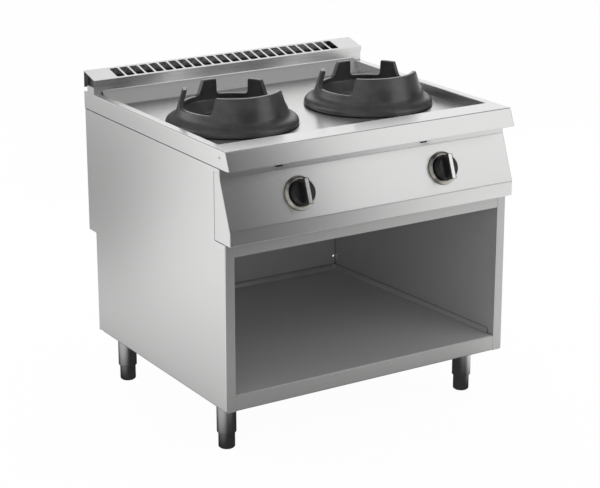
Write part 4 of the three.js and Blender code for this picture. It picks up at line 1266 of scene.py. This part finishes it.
@dataclass
class Control:
    """One knob with its pointer, bezel, valve and stem, about the shaft, Z out of the panel."""

    maker: Maker
    side: str
    place: Matrix
    radius: float = 30.0
    shoulder: float = 26.0
    grip_top: float = 40.0
    grip_half: float = 30.3
    grip_corner: float = 1.2
    groove: float = 10.4
    shaft: float = 4.3
    bore: float = 31.5
    bezel_width: float = 8.5
    bezel_height: float = 8.0

    def build(self) -> None:
        """Makes all of it."""
        self.bezel()
        self.knob()
        self.pointer()
        for node, look in (("gas_valve", Look.BRASS), ("valve_plug", Look.BRASS), ("valve_stem", Look.ZINC)):
            self.maker.refined(f"{node}_{self.side}", look, 0.0003, 1)

    def bezel(self) -> None:
        """The turned ring round the knob."""
        bore, wide, top = self.bore, self.bezel_width, self.bezel_height
        profile = eased([
            (bore + 1, 0.3), (bore + wide, 0.3), (bore + wide, top * 0.45), (bore + wide * 0.32, top),
            (bore, top), (bore, 0.3), (bore + 1, 0.3)], 0.7)
        self.maker.lathe(profile[:-1], 128, Item(f"bezel_{self.side}", "turned", Look.BEZEL, place=self.place))

    def knob(self) -> None:
        """The knob's skirt and its grip, one moulding."""
        r, shaft, base, top = self.radius, self.shaft, self.shoulder, self.grip_top
        profile = [(0, base - 2), (shaft, base - 2), (shaft, 6.0)] + eased([
            (shaft, 6), (r - 0.4, 6), (r, 7), (r, base - 4), (r - 3.2, base), (0.5, base + 1)], 1.6, 5)[1:]
        profile.append((0, base + 1))
        body = Surface()
        body.rows([turned(profile, 360 * i / 128) for i in range(128)], closed=False, around=True)
        layers = [self.bar(*layer) for layer in (
            (20.5, 0.6, base - 1.5), (18.4, 0.4, base + 0.6), (17.2, 0.2, base + 2.2), (16.4, 0, base + 5),
            (15.6, 0, top - 3), (15.4, 0, top - 1.2), (14.8, 0, top - 0.4), (13.8, 0.2, top),
            (self.groove, 0.5, top), (self.groove, 0.5, top - 2))]
        parts = [placed(mesh, "blank") for mesh in (body.settled(), capped(layers).settled())]
        union = parts[0].modifiers.new("union", "BOOLEAN")
        union.operation, union.solver, union.object = "UNION", "EXACT", parts[1]
        item = Item(f"knob_{self.side}", "moulding", Look.KNOB, sharp=42.0, place=self.place)
        self.maker.finish(applied(*parts), item)

    def bar(self, width: float, shorter: float, height: float) -> list[Point3]:
        """Outline at some height of a bar across the knob, so much shorter than the grip at each end."""
        length = 2 * (self.grip_half - shorter)
        return stadium((0, 0), width, length, self.grip_corner, lambda a, b: (a, b, height), 6)

    def pointer(self) -> None:
        """The bright bar let into the grip."""
        low, top = self.grip_top - 1.6, self.grip_top + 1
        layers = [self.bar(*layer) for layer in (
            (9.4, 0.9, low), (9.8, 0.7, low + 0.3), (9.8, 0.7, top - 0.5), (9.4, 0.9, top - 0.12),
            (8.6, 1.3, top))]
        item = Item(f"knob_pointer_{self.side}", "bar", Look.POINTER, place=self.place)
        self.maker.finish(capped(layers).settled(), item)


def capped(layers: Sequence[list[Point3]]) -> Surface:
    """A closed body through a row of outlines.

    Args:
        layers: The outlines; the first and the last become faces.

    Returns:
        The body.
    """
    surface = Surface()
    surface.rows(layers)
    surface.face(layers[0][::-1])
    surface.face(layers[-1])
    return surface


@dataclass
class Legs:
    """The four legs with their adjustable feet and nuts, about each leg's axis."""

    maker: Maker
    underside: float = 129.0
    radius: float = 23.75
    bottom: float = 40.0
    foot_radius: float = 20.2
    stud: float = 6.0
    stud_top: float = 143.0

    def build(self) -> None:
        """Makes all four."""
        bore, top, crown = self.foot_radius + 0.3, self.underside - 0.3, self.underside - 4
        stud, high, r, low = self.stud, self.stud_top, self.radius, self.bottom
        tube = [(0, crown), (bore, crown), (bore, low + 1.2)] + eased([
            (bore, low + 1), (bore + 0.6, low), (r - 1.2, low), (r, low + 1.6), (r, top), (stud, top),
            (stud, high - 1), (stud - 1, high), (0.5, high)], 0.5)[1:] + [(0, high)]
        r, high = self.foot_radius, self.underside - 27
        foot = [(0, 0)] + eased([(0.5, 0), (r - 3, 0), (r, 3), (r, high), (0.5, high)], 0.6) + [(0, high)]
        for side in SIDES:
            for end in ("front", "rear"):
                low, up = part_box(f"leg_tube_{end}_{side}")
                place = Matrix.Translation(((low.x + up.x) / 2, (low.y + up.y) / 2, 0))
                for part, profile, look in (("tube", tube, Look.LEG), ("foot", foot, Look.FOOT)):
                    item = Item(f"leg_{part}_{end}_{side}", "turned", look, place=place)
                    self.maker.lathe(profile, 128, item)
                self.maker.refined(f"leg_nut_{end}_{side}", Look.ZINC, 0.0004, 1)


@dataclass
class Pipes:
    """The manifold, the supply pipe and the burners' feed pipes."""

    maker: Maker

    def build(self) -> None:
        """Makes them."""
        for node, ease in (("gas_manifold", 0.0004), ("gas_inlet", 0.0004), ("feed_pipe_left", 0.0003),
                           ("feed_pipe_right", 0.0003)):
            self.maker.refined(node, Look.ZINC, ease, 1)


# ---------------------------------------------------------------- studio
@dataclass(frozen=True)
class Softbox:
    """A soft rectangular light.

    Attributes:
        name: Its name.
        spot: Where it stands, in metres.
        aim: What it looks at.
        size: Its width and height.
        level: How bright it looks, where 1 is white.
    """

    name: str
    spot: Point3
    aim: Point3
    size: Point2
    level: float

    def build(self) -> None:
        """Makes the light."""
        light = bpy.data.lights.new(self.name, "AREA")
        light.shape, (light.size, light.size_y) = "RECTANGLE", self.size
        light.energy = self.level * math.pi * self.size[0] * self.size[1]
        item = bpy.data.objects.new(self.name, light)
        item.location = self.spot
        item.rotation_euler = (Vector(self.aim) - Vector(self.spot)).to_track_quat("-Z", "Y").to_euler()
        item.visible_camera = False
        bpy.context.scene.collection.objects.link(item)


@dataclass(frozen=True)
class Studio:
    """Plain floor, soft lights and the photograph's view."""

    camera: Point3 = (-2.3705, -3.79169, 1.8179)
    pitch: float = 17.757
    yaw: float = 32.07
    lens: float = 111.5
    reach: float = 14000.0
    gap: float = 0.5
    ambient: float = 0.5
    dark: float = 0.04
    boxes: tuple[Softbox, ...] = (
        Softbox("right_softbox", (1.95, -1.85, 1.8), (1.95, 0.0, 1.8), (2.3, 1.9), 1.0),
        Softbox("left_softbox", (-1.9, 2.1, 1.35), (0.0, 2.1, 1.35), (3.6, 2.6), 0.86),
        Softbox("rear_softbox", (1.8, 1.95, 2.1), (1.8, 0.0, 2.1), (2.8, 2.6), 0.95),
        Softbox("top_softbox", (1.55, -1.15, 3.3), (1.5, -1.1, 0.0), (2.4, 2.2), 0.28),
        Softbox("front_softbox", (-2.4, -2.2, 1.5), (0.2, 0.0, 0.5), (2.0, 2.0), 0.35),
    )

    def build(self) -> None:
        """Makes all of it."""
        self.world()
        self.floor()
        for box in self.boxes:
            box.build()
        self.view()

    def view(self) -> None:
        """The camera."""
        data = bpy.data.cameras.new("photo_camera")
        data.lens, data.sensor_width, data.clip_end = self.lens, 36.0, 100.0
        camera = bpy.data.objects.new("photo_camera", data)
        camera.location = self.camera
        camera.rotation_euler = (math.radians(90 - self.pitch), 0, math.radians(-self.yaw))
        bpy.context.scene.collection.objects.link(camera)
        bpy.context.scene.camera = camera

    def world(self) -> None:
        """White behind the object; for reflections, lighter to the left and behind it."""
        world = bpy.data.worlds.new("studio")
        bpy.context.scene.world = world
        world.use_nodes = True
        world.node_tree.nodes.clear()
        tree = Tree(world.node_tree)
        way = tree.add("TexCoord").outputs["Generated"]
        x, y, _ = tree.parts(way)
        turn = tree.math("DIVIDE", x, tree.math("MAXIMUM", tree.flat_length(way), 0.01))
        left = tree.ramp(turn, -0.6, -0.25, 0.3, self.dark)
        mirrored = tree.math("MAXIMUM", left, tree.ramp(y, -0.1, 0.3, 0.0, 0.14))
        path = tree.add("LightPath").outputs
        reflected = tree.math("MAXIMUM", path["Is Glossy Ray"], path["Is Transmission Ray"])
        level = tree.mix(path["Is Camera Ray"], tree.mix(reflected, self.ambient, mirrored), 1.0)
        shade = tree.add("Background", {"Strength": level, "Color": WHITE})
        tree.add("OutputWorld", {0: shade.outputs[0]})

    def floor(self) -> None:
        """A plain pale floor, white to the camera, which keeps a faint shadow.

        Reflections see it shaded: darker under the range and to the left, as in the photograph.
        """
        surface, reach = Surface(), self.reach
        surface.face([(x, y, -self.gap) for x, y in (
            (-reach, -reach), (reach, -reach), (reach, reach), (-reach, reach))])
        floor = placed(surface.mesh, "studio_floor")
        material = bpy.data.materials.new("pale_floor")
        material.use_nodes = True
        material.node_tree.nodes.clear()
        tree = Tree(material.node_tree)
        paper = tree.add("BsdfDiffuse", {"Color": (0.8, 0.8, 0.8, 1)})
        white = tree.add("Emission", {"Color": WHITE, "Strength": 1.02})
        path = tree.add("LightPath").outputs
        glow = tree.add("Emission", {"Color": WHITE, "Strength": self.floor_tone(tree)})
        unseen = tree.add("MixShader", {0: path["Is Glossy Ray"], 1: paper.outputs[0], 2: glow.outputs[0]})
        share = tree.math("MULTIPLY", path["Is Camera Ray"], 0.95)
        mixed = tree.add("MixShader", {0: share, 1: unseen.outputs[0], 2: white.outputs[0]})
        tree.add("OutputMaterial", {0: mixed.outputs[0]})
        material.cycles.emission_sampling = "NONE"
        floor.data.materials.append(material)
        floor.visible_shadow = False

    @staticmethod
    def floor_tone(tree: Tree) -> Socket:
        """How bright the floor glows for reflections, by place, with painted shade under and beside the range.

        Args:
            tree: The floor's shader tree.

        Returns:
            The brightness's socket.
        """
        x, y, _ = tree.parts(tree.here())
        shifted = tree.math("ADD", x, tree.math("MULTIPLY", tree.math("ADD", y, 0.36), 0.63))
        far_front = tree.ramp(shifted, -0.4, 0.5, 0.02, 0.95)
        front = tree.mix(tree.ramp(y, -1.35, -0.85), far_front, tree.ramp(x, -0.2, 0.8, 0.68, 0.95))
        along = tree.math("ADD", y, tree.math("MULTIPLY", tree.math("ADD", x, 0.4), 1.6))
        side = tree.mix(tree.ramp(x, -1.1, -0.6), tree.ramp(along, 0.0, 0.55, 0.92, 0.2), 0.6)
        open_floor = tree.mix(tree.ramp(x, -0.5, -0.35), side, front)
        # painted shadow: the glow is darkened under and beside the range
        beside = tree.ramp(tree.math("SUBTRACT", tree.math("ABSOLUTE", x), 0.4), -0.03, 0.22, 0.04, 1.0)
        before = tree.ramp(tree.math("SUBTRACT", tree.math("ABSOLUTE", y), 0.37), -0.03, 0.55, 0.04, 1.0)
        shaded = tree.math("MULTIPLY", open_floor, tree.math("MAXIMUM", beside, before))
        return tree.math("MULTIPLY", shaded, tree.ramp(x, -2.15, -1.9, 0.4, 1.0))


def main() -> None:
    """Builds the studio and every sub-assembly."""
    logging.basicConfig(level=logging.INFO, format="%(name)s: %(message)s")
    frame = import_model()
    bpy.context.scene.view_settings.view_transform = "Standard"
    Studio().build()
    maker = Maker(frame, Palette())
    y0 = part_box("side_panel_left")[0].y
    for part in (Cabinet, Worktop, ControlPanel, Flue):
        part(maker, y0).build()
    for side, sign in SIDES.items():
        low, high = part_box(f"burner_cap_{side}")
        Burner(maker, side, Matrix.Translation(((low.x + high.x) / 2, (low.y + high.y) / 2, 0))).build()
        shaft = Matrix.Translation((sign * SHAFT_X * MM, SLOPE_MIDDLE[0] * MM + y0, SLOPE_MIDDLE[1] * MM))
        Control(maker, side, shaft @ Matrix.Rotation(math.pi / 2 - LEAN, 4, "X")).build()
    Legs(maker).build()
    Pipes(maker).build()
    bare = [name for name, node in frame["nodes"].items() if not node.hide_render]
    LOG.info("%d pieces made, nodes still bare: %s", len(maker.made), bare)


if __name__ == "__main__":
    main()
